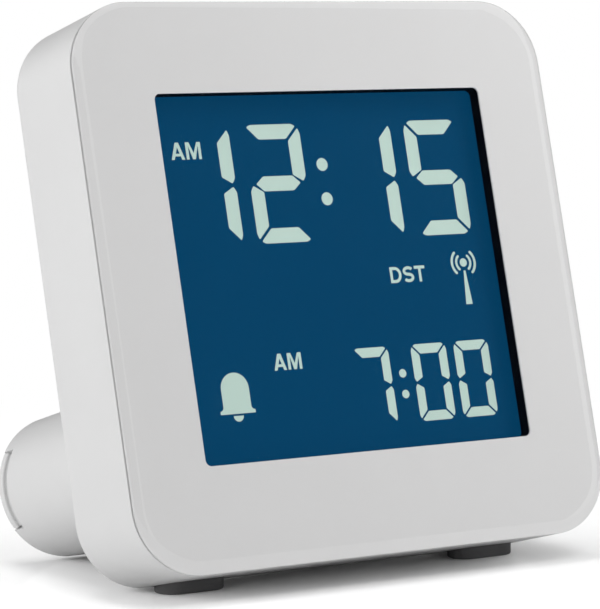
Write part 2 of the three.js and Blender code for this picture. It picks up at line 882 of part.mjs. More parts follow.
// Each contact plate has a tail through the floor of the bay
function contactTails() {
  const plates = [
    { name: "contact_bridge", side: -1, near: cellInnerY, far: cellOuterY },
    { name: "contact_positive", side: 1, near: cellInnerY, far: cellInnerY },
    { name: "contact_negative", side: 1, near: cellOuterY, far: cellOuterY },
  ];
  return plates.map((plate) => {
    const inner = plate.side * bayHalf;
    const outer = plate.side * (bayHalf + contactSheet);
    const left = Math.min(inner, outer);
    const right = Math.max(inner, outer);
    const z = footCentre + (plate.name === "contact_negative" ? bayRadius - tailGap - tailHalf : 0);
    const tail = block(left, right, bayFront - tailReach, plate.far, z - tailHalf, z + tailHalf);
    const slot = block(
      left - seat, right + seat, shellInnerBack - 1, bayFront + film,
      z - tailHalf - seat, z + tailHalf + seat);
    return { ...plate, left, right, inner, tailTop: z + tailHalf, tail, slot };
  });
}

function contact(plate) {
  const half = contactPlateHalf;
  const { left, right, near, far } = plate;
  let body = solid(block(left, right, near - half, far + half, footCentre - half, footCentre + half));
  body = joined(body, plate.tail);
  if (plate.name === "contact_negative") {
    body = joined(body, block(left, right, near - tailHalf, far, footCentre, plate.tailTop));
  }
  const turned = (geometry, y) => {
    const facing = plate.side > 0 ? geometry.rotateY(Math.PI) : geometry;
    return facing.translate(plate.inner, y, footCentre);
  };
  if (plate.name !== "contact_positive") {
    const springY = plate.side < 0 ? near : far;
    body = joined(body, turned(contactSpring(), springY));
  }
  if (plate.name !== "contact_negative") {
    const bumpY = plate.side < 0 ? far : near;
    body = joined(body, turned(contactBumpDome(), bumpY));
  }
  return surface(body);
}

// Pan-head screw with a cross recess, its head towards the back
function screw(length) {
  const radius = screwHead / 2;
  const shank = screwShank / 2;
  const top = length + screwHeadHeight;
  const profile = [
    [0, 0], [shank - screwTip, 0], [shank, 2 * screwTip], [shank, length], [radius, length],
    [radius, length + screwHeadHeight * 0.55], [radius * 0.8, length + screwHeadHeight * 0.92], [0, top],
  ].map(([r, y]) => new THREE.Vector2(r, y));
  const arm = crossLength / 2;
  const slit = crossWidth / 2;
  return surface(cutBy(
    solid(new THREE.LatheGeometry(profile, 12)),
    block(-arm, arm, top - crossDepth, top + 1, -slit, slit),
    block(-slit, slit, top - crossDepth, top + 1, -arm, arm),
  ));
}

// Snooze bar: drawn upright about its own middle, its crown at the top
function barOutline(inset) {
  return pillOutline(snoozeHalf, snoozeWidth / 2 - inset, 0, 0, 12);
}

function upright(geometry) {
  return geometry.rotateX(Math.PI / 2).translate(0, snoozeY, 0);
}

function snoozeSlot() {
  return upright(prism(barOutline(-slide), bodyHeight - wall - 1, bodyHeight + 1));
}

function snoozeBar() {
  const flangeTop = bodyHeight - wall - seat;
  const flangeBottom = flangeTop - snoozeFlangeThickness;
  const top = bodyHeight + snoozeProud;
  const cap = loft(roundedRings(barOutline, flangeTop - merge, top, 0, snoozeEdge, 4));
  const half = snoozeLegWidth / 2;
  const legMiddle = solderSide + snoozeSwitchThickness / 2;
  const legNear = legMiddle - snoozeLegThickness / 2;
  const legFar = legMiddle + snoozeLegThickness / 2;
  const legBottom = snoozeSwitchTop + snoozeTravel + seat;
  return surface(joined(
    solid(upright(cap)),
    upright(prism(barOutline(-snoozeFlange), flangeBottom, flangeTop)),
    block(-half, half, legNear, legFar, legBottom, flangeBottom + merge),
  ));
}

// Side-acting switch at the top edge of the board, under the leg of the snooze bar
function snoozeSwitch() {
  const half = snoozeSwitchWidth / 2;
  const middle = solderSide + snoozeSwitchThickness / 2;
  const bodyTop = boardTop - snoozeSwitchInset;
  const body = solid(block(
    -half, half, solderSide, solderSide + snoozeSwitchThickness, boardTop - snoozeSwitchDepth, bodyTop));
  const plunger = block(
    -plungerWidth / 2, plungerWidth / 2, middle - plungerThickness / 2, middle + plungerThickness / 2,
    bodyTop - merge, snoozeSwitchTop);
  return surface(joined(body, plunger));
}

// Set button: crowned cap, collar that keeps it in the housing, and a stem to its switch
function buttonPlaces() {
  const first = -((buttonCount - 1) / 2) * buttonPitch;
  return Array.from({ length: buttonCount }, (_, order) => first + order * buttonPitch);
}

function setButton() {
  const radius = buttonDiameter / 2;
  const collar = shellInnerBack - seat;
  const collarRadius = radius + buttonCollar;
  const collarFront = collar - buttonCollarThickness;
  const stemEnd = boardBack + buttonSwitchHeight + buttonTravel + seat;
  const top = bodyDepth + buttonProud;
  const soften = buttonEdge * (1 - Math.SQRT1_2);
  const profile = [
    [0, stemEnd], [stemRadius, stemEnd], [stemRadius, collarFront], [collarRadius, collarFront],
    [collarRadius, collar], [radius, collar], [radius, top - buttonEdge],
    [radius - soften, top - soften], [radius - buttonEdge, top], [0, top + buttonCrown],
  ].map(([r, y]) => new THREE.Vector2(r, y));
  return new THREE.LatheGeometry(profile, 18);
}

function buttonSwitch() {
  const half = buttonSwitchWidth / 2;
  const bodyBack = solderSide + buttonSwitchBody;
  const body = solid(block(-half, half, solderSide, bodyBack, -half, half));
  const cap = rod(0, 0, bodyBack - merge, boardBack + buttonSwitchHeight, buttonSwitchCap, 16);
  return surface(joined(body, cap));
}

// Alarm switch: knob through a slot, its lever, and the switch on the board
function switchSlotOutline() {
  const half = (knobLength + knobTravel) / 2 + slide;
  const x = knobX + knobTravel / 2;
  const rise = knobWidth / 2 + slide;
  return roundedOutline(x - half, x + half, upperRow - rise, upperRow + rise, slotCorner, 4);
}

function alarmKnob() {
  const half = knobLength / 2;
  const rise = knobWidth / 2;
  const top = bodyDepth + knobProud;
  const collar = shellInnerBack - seat;
  const outline = (inset) => roundedOutline(
    -half + inset, half - inset, -rise + inset, rise - inset, knobCorner, 4);
  const cap = loft(roundedRings(outline, collar - merge, top, 0, knobEdge, 2));
  const reach = half + knobTravel + knobFlangeReach;
  const flange = block(
    -reach, reach, collar - knobFlangeThickness, collar, -knobFlangeHalf, knobFlangeHalf);
  const grooves = [-knobGroovePitch, 0, knobGroovePitch].map((x) => block(
    x - knobGrooveWidth / 2, x + knobGrooveWidth / 2, top - knobGrooveDepth, top + 1,
    -knobWidth, knobWidth));
  return surface(cutBy(joined(solid(cap), flange), ...grooves));
}

function alarmLever() {
  const far = shellInnerBack - seat - knobFlangeThickness - film;
  return block(-leverHalf, leverHalf, solderSide + leverFloor, far, -leverRise, leverRise);
}

function alarmSwitchBody() {
  const track = leverHalf + seat;
  const end = leverHalf + switchEndWall;
  const far = solderSide + switchBodyHeight;
  const body = solid(block(-end, knobTravel + end, solderSide, far, -switchBodyRise, switchBodyRise));
  const floor = solderSide + leverFloor - seat;
  const rise = leverRise + seat;
  return surface(cutBy(body, block(-track, knobTravel + track, floor, far + 1, -rise, rise)));
}

// Sounder can with its port towards the holes
function sounder() {
  const radius = sounderDiameter / 2;
  const portFloor = sounderHeight - sounderPort;
  const profile = [
    [0, 0], [radius - sounderEdge, 0], [radius, sounderEdge], [radius, sounderHeight - sounderEdge],
    [radius - sounderEdge, sounderHeight], [sounderPort, sounderHeight], [sounderPort, portFloor],
    [0, portFloor],
  ].map(([r, y]) => new THREE.Vector2(r, y));
  return new THREE.LatheGeometry(profile, 20);
}

function soundHolePlaces() {
  const places = [[sounderX, upperRow]];
  for (let step = 0; step < soundHoleCount; step += 1) {
    const angle = (2 * Math.PI * step) / soundHoleCount;
    places.push([
      sounderX + soundHolePitch * Math.cos(angle),
      upperRow + soundHolePitch * Math.sin(angle),
    ]);
  }
  return places;
}

// Assembly, from the front to the back
const spot = (x, y, z) => new THREE.Vector3(x, y, z);
place("front_panel", frontPanel(), clearAcrylic);
place("front_print", frontPrint(), whitePrint);
place("front_bezel", frontBezel(), whitePlastic);
place("lcd_gasket", lcdGasket(), blackPlastic);
place("lcd_front_glass", frontGlass(), displayBlue);
place("lcd_rear_glass", rearGlass(), displayBlue);
place("light_guide", lightGuide(), guidePlastic);
place("backlight_led_left", backlightLamp(), whitePlastic, spot(-lampX, 0, 0));
place("backlight_led_right", backlightLamp(), whitePlastic, spot(lampX, 0, 0));
place("lcd_holder", lcdHolder(), whitePlastic);
place("zebra_strip", zebraStrip(), rubberGrey);
place("main_board", mainBoard(), boardGreen);
place("controller_chip", controllerChip(), blackPlastic, spot(0, solderSide, buttonRow - chipDrop));
place("crystal", crystalCan(), bareSteel,
  spot(crystalX, solderSide + crystalRadius, buttonRow - crystalDrop));
place("receiver_module", receiverModule(), boardGreen,
  spot(receiverX, solderSide, buttonRow - receiverDrop));
place("antenna_rod", antennaBar(ferriteLength / 2, 0), ferriteGrey);
place("antenna_coil", antennaCoil(), copperWire);
place("sounder", sounder(), blackPlastic,
  spot(sounderX, shellInnerBack - seat - sounderHeight, upperRow));
place("rear_shell", rearShell(), whitePlastic);
place("snooze_bar", snoozeBar(), whitePlastic);
place("snooze_switch", snoozeSwitch(), blackPlastic);
buttonPlaces().forEach((x, order) => {
  place(`set_button_${order + 1}`, setButton(), whitePlastic, spot(x, 0, buttonRow));
  place(`button_switch_${order + 1}`, buttonSwitch(), blackPlastic, spot(x, 0, buttonRow));
});
place("alarm_switch_knob", alarmKnob(), whitePlastic, spot(knobX, 0, upperRow));
place("alarm_switch_lever", alarmLever(), blackPlastic, spot(knobX, 0, upperRow));
place("alarm_switch_body", alarmSwitchBody(), bareSteel, spot(knobX, 0, upperRow));
const housingScrewTip = bezelBack + postFloor + seat;
const housingScrewSeat = boardFront + bossFloor + seat;
housingScrewPlaces().forEach(([x, z], order) => {
  place(`housing_screw_${order + 1}`, screw(housingScrewSeat - housingScrewTip), bareSteel,
    spot(x, housingScrewTip, z));
});
const boardScrewTip = shellFront + boardPostFloor + seat;
boardScrewPlaces().forEach(([x, z], order) => {
  place(`board_screw_${order + 1}`, screw(solderSide - boardScrewTip), bareSteel,
    spot(x, boardScrewTip, z));
});
const nubTip = bayHalf - contactBump - seat;
place("battery_cell_inner", cell(), cellSleeve, spot(nubTip - cellLength, cellInnerY, footCentre));
place("battery_cell_outer", cell().rotateZ(Math.PI), cellSleeve,
  spot(cellLength - nubTip, cellOuterY, footCentre));
for (const plate of contactTails()) {
  place(plate.name, contact(plate), nickel);
}
place("battery_cover", batteryCover(), whitePlastic);
for (const [name, pad] of Object.entries(padPlaces)) {
  place(name, surface(padSolid(pad, 0)), rubberGrey);
}

// Stand the clock on the floor with the middle of its footprint at the origin
clock.updateMatrixWorld(true);
const bounds = new THREE.Box3().setFromObject(clock, true);
leaning.position.y = -(bounds.min.y + bounds.max.y) / 2;
leaning.position.z = -bounds.min.z;

export default clock;
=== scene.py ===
# Radio-controlled alarm clock: a white square body that leans back on a wide round-ended foot
import math

import bpy
import numpy as np
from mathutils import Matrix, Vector


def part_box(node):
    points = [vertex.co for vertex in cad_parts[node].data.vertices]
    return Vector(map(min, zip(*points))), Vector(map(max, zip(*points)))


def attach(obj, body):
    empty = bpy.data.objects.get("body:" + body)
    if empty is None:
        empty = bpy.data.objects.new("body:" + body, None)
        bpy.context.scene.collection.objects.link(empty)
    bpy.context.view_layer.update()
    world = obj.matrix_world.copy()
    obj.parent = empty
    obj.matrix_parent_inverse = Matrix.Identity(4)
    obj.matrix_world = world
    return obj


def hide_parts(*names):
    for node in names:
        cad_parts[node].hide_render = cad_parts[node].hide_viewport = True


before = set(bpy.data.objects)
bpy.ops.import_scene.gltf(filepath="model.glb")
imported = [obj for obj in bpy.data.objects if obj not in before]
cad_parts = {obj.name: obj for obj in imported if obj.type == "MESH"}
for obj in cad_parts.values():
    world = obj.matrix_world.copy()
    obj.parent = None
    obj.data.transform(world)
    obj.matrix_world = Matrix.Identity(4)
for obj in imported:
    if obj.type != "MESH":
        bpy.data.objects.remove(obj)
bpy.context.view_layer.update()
print("frame loaded with", len(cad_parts), "nodes")

# The body is drawn in a leaning frame of its own, in millimetres: across to the right, deep from the
# front surface, and up the face from its bottom edge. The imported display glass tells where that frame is
lean = math.radians(15)
leanSin = math.sin(lean)
leanCos = math.cos(lean)
glass = {
    "front": 3.65, "back": 4.75, "half": 27.85, "bottom": 9.8, "top": 64.85, "corner": 0.25, "edge": 0.15,
}
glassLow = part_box("lcd_front_glass")[0]
originY = glassLow.y * 1000 - glass["bottom"] * leanSin - glass["front"] * leanCos
originZ = glassLow.z * 1000 - glass["bottom"] * leanCos + glass["back"] * leanSin

body = {
    "halfWidth": 38, "height": 76, "corner": 9.2, "leastCorner": 0.2, "wall": 2, "shellFront": 1.88,
    "innerBack": 16.4, "depth": 18.4, "backEdge": 2.25, "rimEdge": 0.12, "innerFillet": 0.5,
    "cornerSteps": 22,
}
foot = {
    "half": 25.27, "centre": 16.76, "radius": 9.88, "wall": 1.8, "rear": 42.6, "rim": 0.6,
    "innerEdge": 0.25, "draft": math.radians(0.9), "bayFloor": 18.4, "floorRound": 0.4, "fillet": 0.7,
    "endSteps": 56, "notchAngle": math.radians(34), "notchDepth": 3.2,
}
past = 1  # how far a cutting shape runs past what it cuts
sunk = 0.2  # how far a joined shape reaches into its neighbour
sharpAngle = math.radians(32)  # edges past this angle stay sharp in the shading


# Coordinates side by side as the columns of an array, with a single number repeated as often as it takes
def columns(*parts):
    return np.stack(np.broadcast_arrays(*parts), axis=-1)


def quarterTurn(steps):
    return np.linspace(0, math.pi / 2, steps)


# Points at centre + (radiusX * cos, radiusZ * sin)
def around(x, z, radiusX, radiusZ, angles):
    return columns(x + radiusX * np.cos(angles), z + radiusZ * np.sin(angles))


# Turns leaning millimetres into metres of the object's frame: y grows with up * sin + deep * cos and
# z with up * cos - deep * sin
def leaningToObject(points):
    across, deep, up = points[..., 0], points[..., 1], points[..., 2]
    y = originY + up * leanSin + deep * leanCos
    z = originZ + up * leanCos - deep * leanSin
    return columns(across, y, z) / 1000


# Shapes are pairs of points and faces. Faces are turned outwards when the enclosed volume, the sum of
# a . (b x c) over their triangles, comes out negative
def outwards(shape):
    points, faces = shape
    volume = 0.0
    for face in faces:
        corners = points[face]
        volume += (np.cross(corners[1:-1], corners[2:]) @ corners[0]).sum()
    return (points, faces) if volume > 0 else (points, [face[::-1] for face in faces])


# Several shapes as one: each shape's corners are counted on from the points before it
def together(*shapes):
    points, faces, start = [], [], 0
    for shapePoints, shapeFaces in map(outwards, shapes):
        points.append(shapePoints)
        faces += [[corner + start for corner in face] for face in shapeFaces]
        start += len(shapePoints)
    return np.concatenate(points), faces


# Skin over rings of equal count: the face between ring i, i + 1 and place j, j + 1. Flat ends close it,
# or the last ring meets the first when the profile itself is closed
def skin(rings, closedProfile=False):
    levels, count = rings.shape[:2]
    order = np.arange(levels * count).reshape(levels, count)
    if closedProfile:
        order = np.vstack([order, order[:1]])
    near, far = order[:-1], order[1:]
    quads = columns(near, far, np.roll(far, -1, 1), np.roll(near, -1, 1))
    faces = quads.reshape(-1, 4).tolist()
    if not closedProfile:
        faces += [order[0].tolist(), order[-1][::-1].tolist()]
    return rings.reshape(-1, 3), faces


# Rounded rectangle: four quarter arcs, centre + radius * (cos, sin), joined by straight sides
def roundedRectangle(left, right, bottom, top, radius, steps):
    angles = np.concatenate([quarterTurn(steps) + quarter * math.pi / 2 for quarter in range(4)])
    centreX = np.repeat([right - radius, left + radius, left + radius, right - radius], steps)
    centreZ = np.repeat([top - radius, top - radius, bottom + radius, bottom + radius], steps)
    return around(centreX, centreZ, radius, radius, angles)


# Pill: two half circles, whose centres lie at x + half and x - half
def pill(half, radius, x, z, steps):
    turn = np.linspace(-math.pi / 2, math.pi / 2, steps)
    angles = np.concatenate([turn, turn + math.pi])
    centreX = np.repeat([x + half, x - half], steps)
    return around(centreX, z, radius, radius, angles)


def circle(x, z, radius, steps):
    return around(x, z, radius, radius, np.arange(steps) * 2 * math.pi / steps)


# Arc of an ellipse
def arc(x, z, radiusX, radiusZ, fromDegrees, toDegrees, steps=20):
    return around(x, z, radiusX, radiusZ, np.radians(np.linspace(fromDegrees, toDegrees, steps)))


# Rings of an outline in the across-up plane, each at its own depth
def ringsAt(outlines, depths):
    return np.stack([
        columns(outline[:, 0], depth, outline[:, 1]) for outline, depth in zip(outlines, depths)])


# Quarter round of an outer edge, in (inset, depth) pairs: inset + radius * (1 - sin) and
# depth + way * radius * (1 - cos), where way is +1 for an edge that comes first and -1 for a last one
def quarterRound(inset, depth, radius, way, steps):
    turn = quarterTurn(steps)
    pairs = columns(inset + radius * (1 - np.sin(turn)), depth + way * radius * (1 - np.cos(turn)))
    return pairs if way > 0 else pairs[::-1]


# Quarter round that ends a profile: inset + way * radius * (1 - cos), depth - radius + radius * sin
def easedEnd(inset, depth, radius, steps, way=-1):
    turn = quarterTurn(steps)
    return columns(inset + way * radius * (1 - np.cos(turn)), depth - radius + radius * np.sin(turn))


# Skin over an outline that changes with the inset, at each (inset, depth) pair of a profile
def profileSkin(outlineAt, profile):
    outlines = [outlineAt(inset) for inset, depth in profile]
    return skin(ringsAt(outlines, [depth for inset, depth in profile]))


# Turned piece: a profile of (radius, depth) pairs carried round an axis that runs into the depth
def turned(x, z, profile, steps=48):
    return profileSkin(lambda radius: circle(x, z, radius, steps), profile)


# Prism: one outline carried straight from the near depth to the far one
def prism(outline, near, far):
    return skin(ringsAt([outline, outline], [near, far]))


def block(left, right, near, far, bottom, top):
    outline = np.array([[right, top], [left, top], [left, bottom], [right, bottom]], float)
    return prism(outline, near, far)


def newObject(name, data):
    made = bpy.data.objects.new(name, data)
    bpy.context.scene.collection.objects.link(made)
    return made


def meshFrom(name, shape, placed=leaningToObject):
    points, faces = outwards(shape)
    mesh = bpy.data.meshes.new(name)
    mesh.from_pydata(placed(points).tolist(), [], faces)
    mesh.validate()
    mesh.update()
    return mesh


# Joins and cuts, one after another, with the result kept as the piece's own mesh. They are made in leaning
# millimetres, where flat faces are exactly flat, and the result is turned into the object's frame
def worked(name, shape, steps):
    base = newObject(name, meshFrom(name, shape, np.array))
    tools = []
    for operation, toolShape in steps:
        tool = newObject(name + "_tool", meshFrom(name + "_tool", toolShape, np.array))
        tools.append(tool)
        modifier = base.modifiers.new(operation, "BOOLEAN")
        modifier.operation = operation
        modifier.solver = "EXACT"
        modifier.object = tool
    graph = bpy.context.evaluated_depsgraph_get()
    mesh = bpy.data.meshes.new_from_object(base.evaluated_get(graph))
    mesh.name = name
    points = np.zeros(len(mesh.vertices) * 3)
    mesh.vertices.foreach_get("co", points)
    mesh.vertices.foreach_set("co", leaningToObject(points.reshape(-1, 3)).ravel())
    mesh.update()
    for spare in [base, *tools]:
        spareMesh = spare.data
        bpy.data.objects.remove(spare)
        bpy.data.meshes.remove(spareMesh)
    return mesh


def dress(mesh, material):
    mesh.materials.clear()
    mesh.materials.append(material)


# Smooth faces with sharp edges past an angle, normals weighted by face area, then the piece's place in
# the frame: its body, its finish and the nodes that it stands for
def addPiece(name, mesh, material, bodyName="body", stands=()):
    for polygon in mesh.polygons:
        polygon.use_smooth = True
    mesh.set_sharp_from_angle(angle=sharpAngle)
    dress(mesh, material)
    piece = newObject(name, mesh)
    weighting = piece.modifiers.new("weighting", "WEIGHTED_NORMAL")
    weighting.keep_sharp = True
    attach(piece, bodyName)
    if stands:
        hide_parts(*stands)


# Materials
def newMaterial(name):
    material = bpy.data.materials.new(name)
    material.use_nodes = True
    tree = material.node_tree
    return material, tree, tree.nodes["Principled BSDF"]


# Numbers and colours are set on a node's own sockets, and another node's output is linked to its socket
def feed(tree, node, inputs):
    for key, value in inputs.items():
        if isinstance(value, bpy.types.NodeSocket):
            tree.links.new(value, node.inputs[key])
        else:
            node.inputs[key].default_value = value


def addNode(tree, kind, inputs=None, **settings):
    node = tree.nodes.new(kind)
    for key, value in settings.items():
        setattr(node, key, value)
    feed(tree, node, inputs or {})
    return node


def objectPlace(tree):
    return addNode(tree, "ShaderNodeTexCoord").outputs["Object"]


def noiseOn(tree, scale, detail=2.0):
    noise = addNode(tree, "ShaderNodeTexNoise", {
        "Vector": objectPlace(tree), "Scale": scale, "Detail": detail})
    return noise.outputs["Fac"]


# Blend between two colours, each at its own value
def ramp(tree, value, stops):
    node = addNode(tree, "ShaderNodeValToRGB", {"Fac": value})
    for element, (position, colour) in zip(node.color_ramp.elements, stops):
        element.position = position
        element.color = (*colour, 1)
    return node.outputs["Color"]


# Noise lies mostly between 0.3 and 0.7, and that stretch is spread from low to high
def rangeOf(tree, value, low, high):
    node = addNode(tree, "ShaderNodeMapRange", {
        "Value": value, "From Min": 0.3, "From Max": 0.7, "To Min": low, "To Max": high})
    return node.outputs["Result"]


def bumpFrom(tree, height, strength, distance):
    bump = addNode(tree, "ShaderNodeBump", {"Height": height, "Strength": strength, "Distance": distance})
    return bump.outputs["Normal"]


def mathOf(tree, operation, first, second=0.0):
    return addNode(tree, "ShaderNodeMath", {0: first, 1: second}, operation=operation).outputs["Value"]


def mixOf(tree, share, first, second):
    return addNode(tree, "ShaderNodeMixShader", {0: share, 1: first, 2: second}).outputs["Shader"]


# 1 where the ray is of any of these kinds, and 0 elsewhere
def rayIs(tree, *kinds):
    path = addNode(tree, "ShaderNodeLightPath")
    found = path.outputs[kinds[0]]
    for kind in kinds[1:]:
        found = mathOf(tree, "MAXIMUM", found, path.outputs[kind])
    return found


# Moulded plastic: a faint cloudiness in the colour, and a fine grain in the gloss and the surface
def mouldedPlastic(name, colour, rough, cloud=0.012, grain=9000, depth=0.03, spread=0.04, shine=0.5):
    material, tree, shader = newMaterial(name)
    darker = tuple(part * (1 - cloud) for part in colour)
    lighter = tuple(min(part * (1 + cloud), 1) for part in colour)
    fine = noiseOn(tree, grain, 3)
    feed(tree, shader, {
        "Base Color": ramp(tree, noiseOn(tree, 55, 3), [(0.35, darker), (0.65, lighter)]),
        "Roughness": rangeOf(tree, fine, rough - spread, rough + spread),
        "Normal": bumpFrom(tree, fine, depth, 0.0002),
        "Specular IOR Level": shine,
    })
    return material


# Clear acrylic: it bends what is seen through it, and lets lamps and soft light straight through
def clearAcrylic():
    material, tree, shader = newMaterial("clearAcrylic")
    feed(tree, shader, {
        "Base Color": (0.985, 0.99, 0.99, 1),
        "Roughness": rangeOf(tree, noiseOn(tree, 300), 0.02, 0.035),
        "Transmission Weight": 1,
        "IOR": 1.49,
    })
    soft = rayIs(tree, "Is Shadow Ray", "Is Diffuse Ray")
    clear = addNode(tree, "ShaderNodeBsdfTransparent")
    feed(tree, tree.nodes["Material Output"], {
        "Surface": mixOf(tree, soft, shader.outputs["BSDF"], clear.outputs["BSDF"])})
    return material


# Display glass: dark blue film, lit evenly from behind, with a very faint unevenness
def displayBlue():
    material, tree, shader = newMaterial("displayBlue")
    tints = [(0.3, (0.0006, 0.0175, 0.045)), (0.7, (0.0007, 0.0190, 0.048))]
    feed(tree, shader, {
        "Base Color": ramp(tree, noiseOn(tree, 40), tints),
        "Emission Color": (0.0012, 0.042, 0.104, 1),
        "Emission Strength": 1,
        "Roughness": rangeOf(tree, noiseOn(tree, 4000), 0.22, 0.28),
        "Specular IOR Level": 0.08,
    })
    return material


# Lit segments of the display: pale green-grey, slightly uneven as a backlight is
def segmentPale():
    material, tree, shader = newMaterial("segmentPale")
    tints = [(0.3, (0.34, 0.44, 0.40)), (0.7, (0.36, 0.46, 0.42))]
    feed(tree, shader, {
        "Base Color": ramp(tree, noiseOn(tree, 160), tints),
        "Emission Color": (0.235, 0.305, 0.275, 1),
        "Emission Strength": 1,
        "Roughness": 0.5,
        "Specular IOR Level": 0.2,
    })
    return material


# Bare metal: fine darker spots in the colour, the gloss and the surface
def metal(name, colour, rough, depth=0.15):
    material, tree, shader = newMaterial(name)
    spots = noiseOn(tree, 2500, 4)
    darker = tuple(part * 0.88 for part in colour)
    feed(tree, shader, {
        "Base Color": ramp(tree, spots, [(0.3, darker), (0.7, colour)]),
        "Roughness": rangeOf(tree, spots, rough * 0.8, rough * 1.25),
        "Normal": bumpFrom(tree, spots, depth, 0.00005),
        "Metallic": 1,
    })
    return material


# Board: green lacquer over a maze of copper tracks, worked out from square cells
def boardGreen():
    material, tree, shader = newMaterial("boardGreen")
    cells = addNode(tree, "ShaderNodeTexVoronoi", {"Vector": objectPlace(tree), "Scale": 420},
                    feature="DISTANCE_TO_EDGE", distance="CHEBYCHEV")
    lacquer = [(0.06, (0.035, 0.16, 0.07)), (0.09, (0.012, 0.085, 0.035))]
    tracks = ramp(tree, cells.outputs["Distance"], lacquer)
    feed(tree, shader, {
        "Base Color": tracks,
        "Roughness": 0.35,
        "Normal": bumpFrom(tree, tracks, 0.3, 0.00005),
    })
    return material


# Winding: fine turns side by side along X, as bands of a sine wave
def copperWinding():
    material, tree, shader = newMaterial("copperWinding")
    wave = addNode(tree, "ShaderNodeTexWave", {
        "Vector": objectPlace(tree), "Scale": 900, "Distortion": 0.4, "Detail Scale": 40},
        bands_direction="X")
    turns = wave.outputs["Fac"]
    feed(tree, shader, {
        "Base Color": ramp(tree, turns, [(0.2, (0.28, 0.09, 0.03)), (0.8, (0.72, 0.30, 0.14))]),
        "Roughness": 0.35,
        "Normal": bumpFrom(tree, turns, 0.8, 0.0001),
        "Metallic": 1,
    })
    return material


# Cell sleeve: printed film, dark up to 0.55 / 40 metres from the middle of its length and pale beyond
def cellSleeve():
    material, tree, shader = newMaterial("cellSleeve")
    parts = addNode(tree, "ShaderNodeSeparateXYZ", {"Vector": objectPlace(tree)})
    away = mathOf(tree, "ABSOLUTE", parts.outputs["X"])
    band = [(0.55, (0.075, 0.085, 0.10)), (0.58, (0.34, 0.35, 0.37))]
    feed(tree, shader, {
        "Base Color": ramp(tree, mathOf(tree, "MULTIPLY", away, 40.0), band),
        "Roughness": rangeOf(tree, noiseOn(tree, 1500), 0.28, 0.36),
        "Metallic": 0.4,
    })
    return material


finishes = {
    "shell": mouldedPlastic("shellWhite", (0.75, 0.75, 0.75), 0.42),
    "cover": mouldedPlastic("coverWhite", (0.75, 0.75, 0.75), 0.44),
    "button": mouldedPlastic("buttonWhite", (0.77, 0.77, 0.77), 0.36),
    "print": mouldedPlastic("screenPrintWhite", (0.755, 0.75, 0.75), 0.6, cloud=0.006, depth=0.01),
    "inner": mouldedPlastic("innerWhite", (0.72, 0.72, 0.71), 0.5),
    "black": mouldedPlastic("blackPlastic", (0.010, 0.010, 0.011), 0.5, cloud=0.1),
    "wall": mouldedPlastic("windowBlack", (0.0015, 0.0018, 0.0045), 0.6, cloud=0.1, shine=0.05),
    "rubber": mouldedPlastic("greyRubber", (0.12, 0.12, 0.122), 0.82, cloud=0.12, grain=5000, depth=0.3),
    "guide": mouldedPlastic("guidePlastic", (0.72, 0.78, 0.80), 0.25),
    "ferrite": mouldedPlastic("ferriteGrey", (0.028, 0.028, 0.030), 0.6, cloud=0.2, grain=6000, depth=0.4),
    "acrylic": clearAcrylic(),
    "blue": displayBlue(),
    "segment": segmentPale(),
    "steel": metal("bareSteel", (0.55, 0.56, 0.58), 0.3),
    "nickel": metal("nickel", (0.62, 0.60, 0.56), 0.26, depth=0.05),
    "board": boardGreen(),
    "winding": copperWinding(),
    "sleeve": cellSleeve(),
}
print("finishes ready:", len(finishes))

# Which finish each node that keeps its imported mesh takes
nodeFinishes = {
    "inner": ["front_bezel", "lcd_holder", "backlight_led_left", "backlight_led_right"],
    "guide": ["light_guide"],
    "blue": ["lcd_rear_glass"],
    "rubber": ["zebra_strip"],
    "board": ["main_board", "receiver_module"],
    "black": ["controller_chip", "sounder", "snooze_switch", "alarm_switch_lever",
              "button_switch_1", "button_switch_2", "button_switch_3", "button_switch_4"],
    "steel": ["crystal", "alarm_switch_body", "board_screw_1", "board_screw_2", "board_screw_3",
              "board_screw_4"],
    "ferrite": ["antenna_rod"],
    "winding": ["antenna_coil"],
    "nickel": ["contact_bridge", "contact_positive", "contact_negative"],
}
for finish, names in nodeFinishes.items():
    for name in names:
        dress(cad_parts[name].data, finishes[finish])
print("finishes on the packed nodes")


# The body's rounded square, made smaller all round by the inset
def bodyOutline(inset):
    corner = max(body["corner"] - inset, body["leastCorner"])
    return roundedRectangle(
        -body["halfWidth"] + inset, body["halfWidth"] - inset, inset, body["height"] - inset,
        corner, body["cornerSteps"])


# Clear panel: the front edge is a quarter of an ellipse, inset wide * (1 - sin), depth deep * (1 - cos).
# The back edge is just broken
panel = {"back": 1.5, "edgeWide": 2.5, "edgeDeep": 1.2, "edgeSteps": 24, "broken": 0.08, "flatRim": 0.3}


def frontPanel():
    turn = quarterTurn(panel["edgeSteps"])
    front = columns(panel["edgeWide"] * (1 - np.sin(turn)), panel["edgeDeep"] * (1 - np.cos(turn)))
    back = quarterRound(0, panel["back"], panel["broken"], -1, steps=4)
    flatFront = [[panel["edgeWide"] + panel["flatRim"], 0]]
    flatBack = [[panel["broken"] + panel["flatRim"], panel["back"]]]
    return profileSkin(bodyOutline, np.vstack([flatFront, front, back, flatBack]))


# Window: the clear rectangle in the print, which the black wall behind it follows
window = {"half": 26.5, "bottom": 13.9, "top": 63.5, "corner": 0.9}


def windowOutline(growth):
    half = window["half"] + growth
    return roundedRectangle(
        -half, half, window["bottom"] - growth, window["top"] + growth, window["corner"] + growth, steps=10)


# Sheet with a window: outer and inner outlines have equal counts, so flat strips join them
def windowedSheet(outer, inner, near, far):
    rings = ringsAt([outer, outer, inner, inner], [near, far, far, near])
    return skin(rings, closedProfile=True)


# The print lies in the panel's back face, so that the panel shows it without an air gap
printSheet = {"near": 1.48, "far": 1.70, "inset": 0.15}


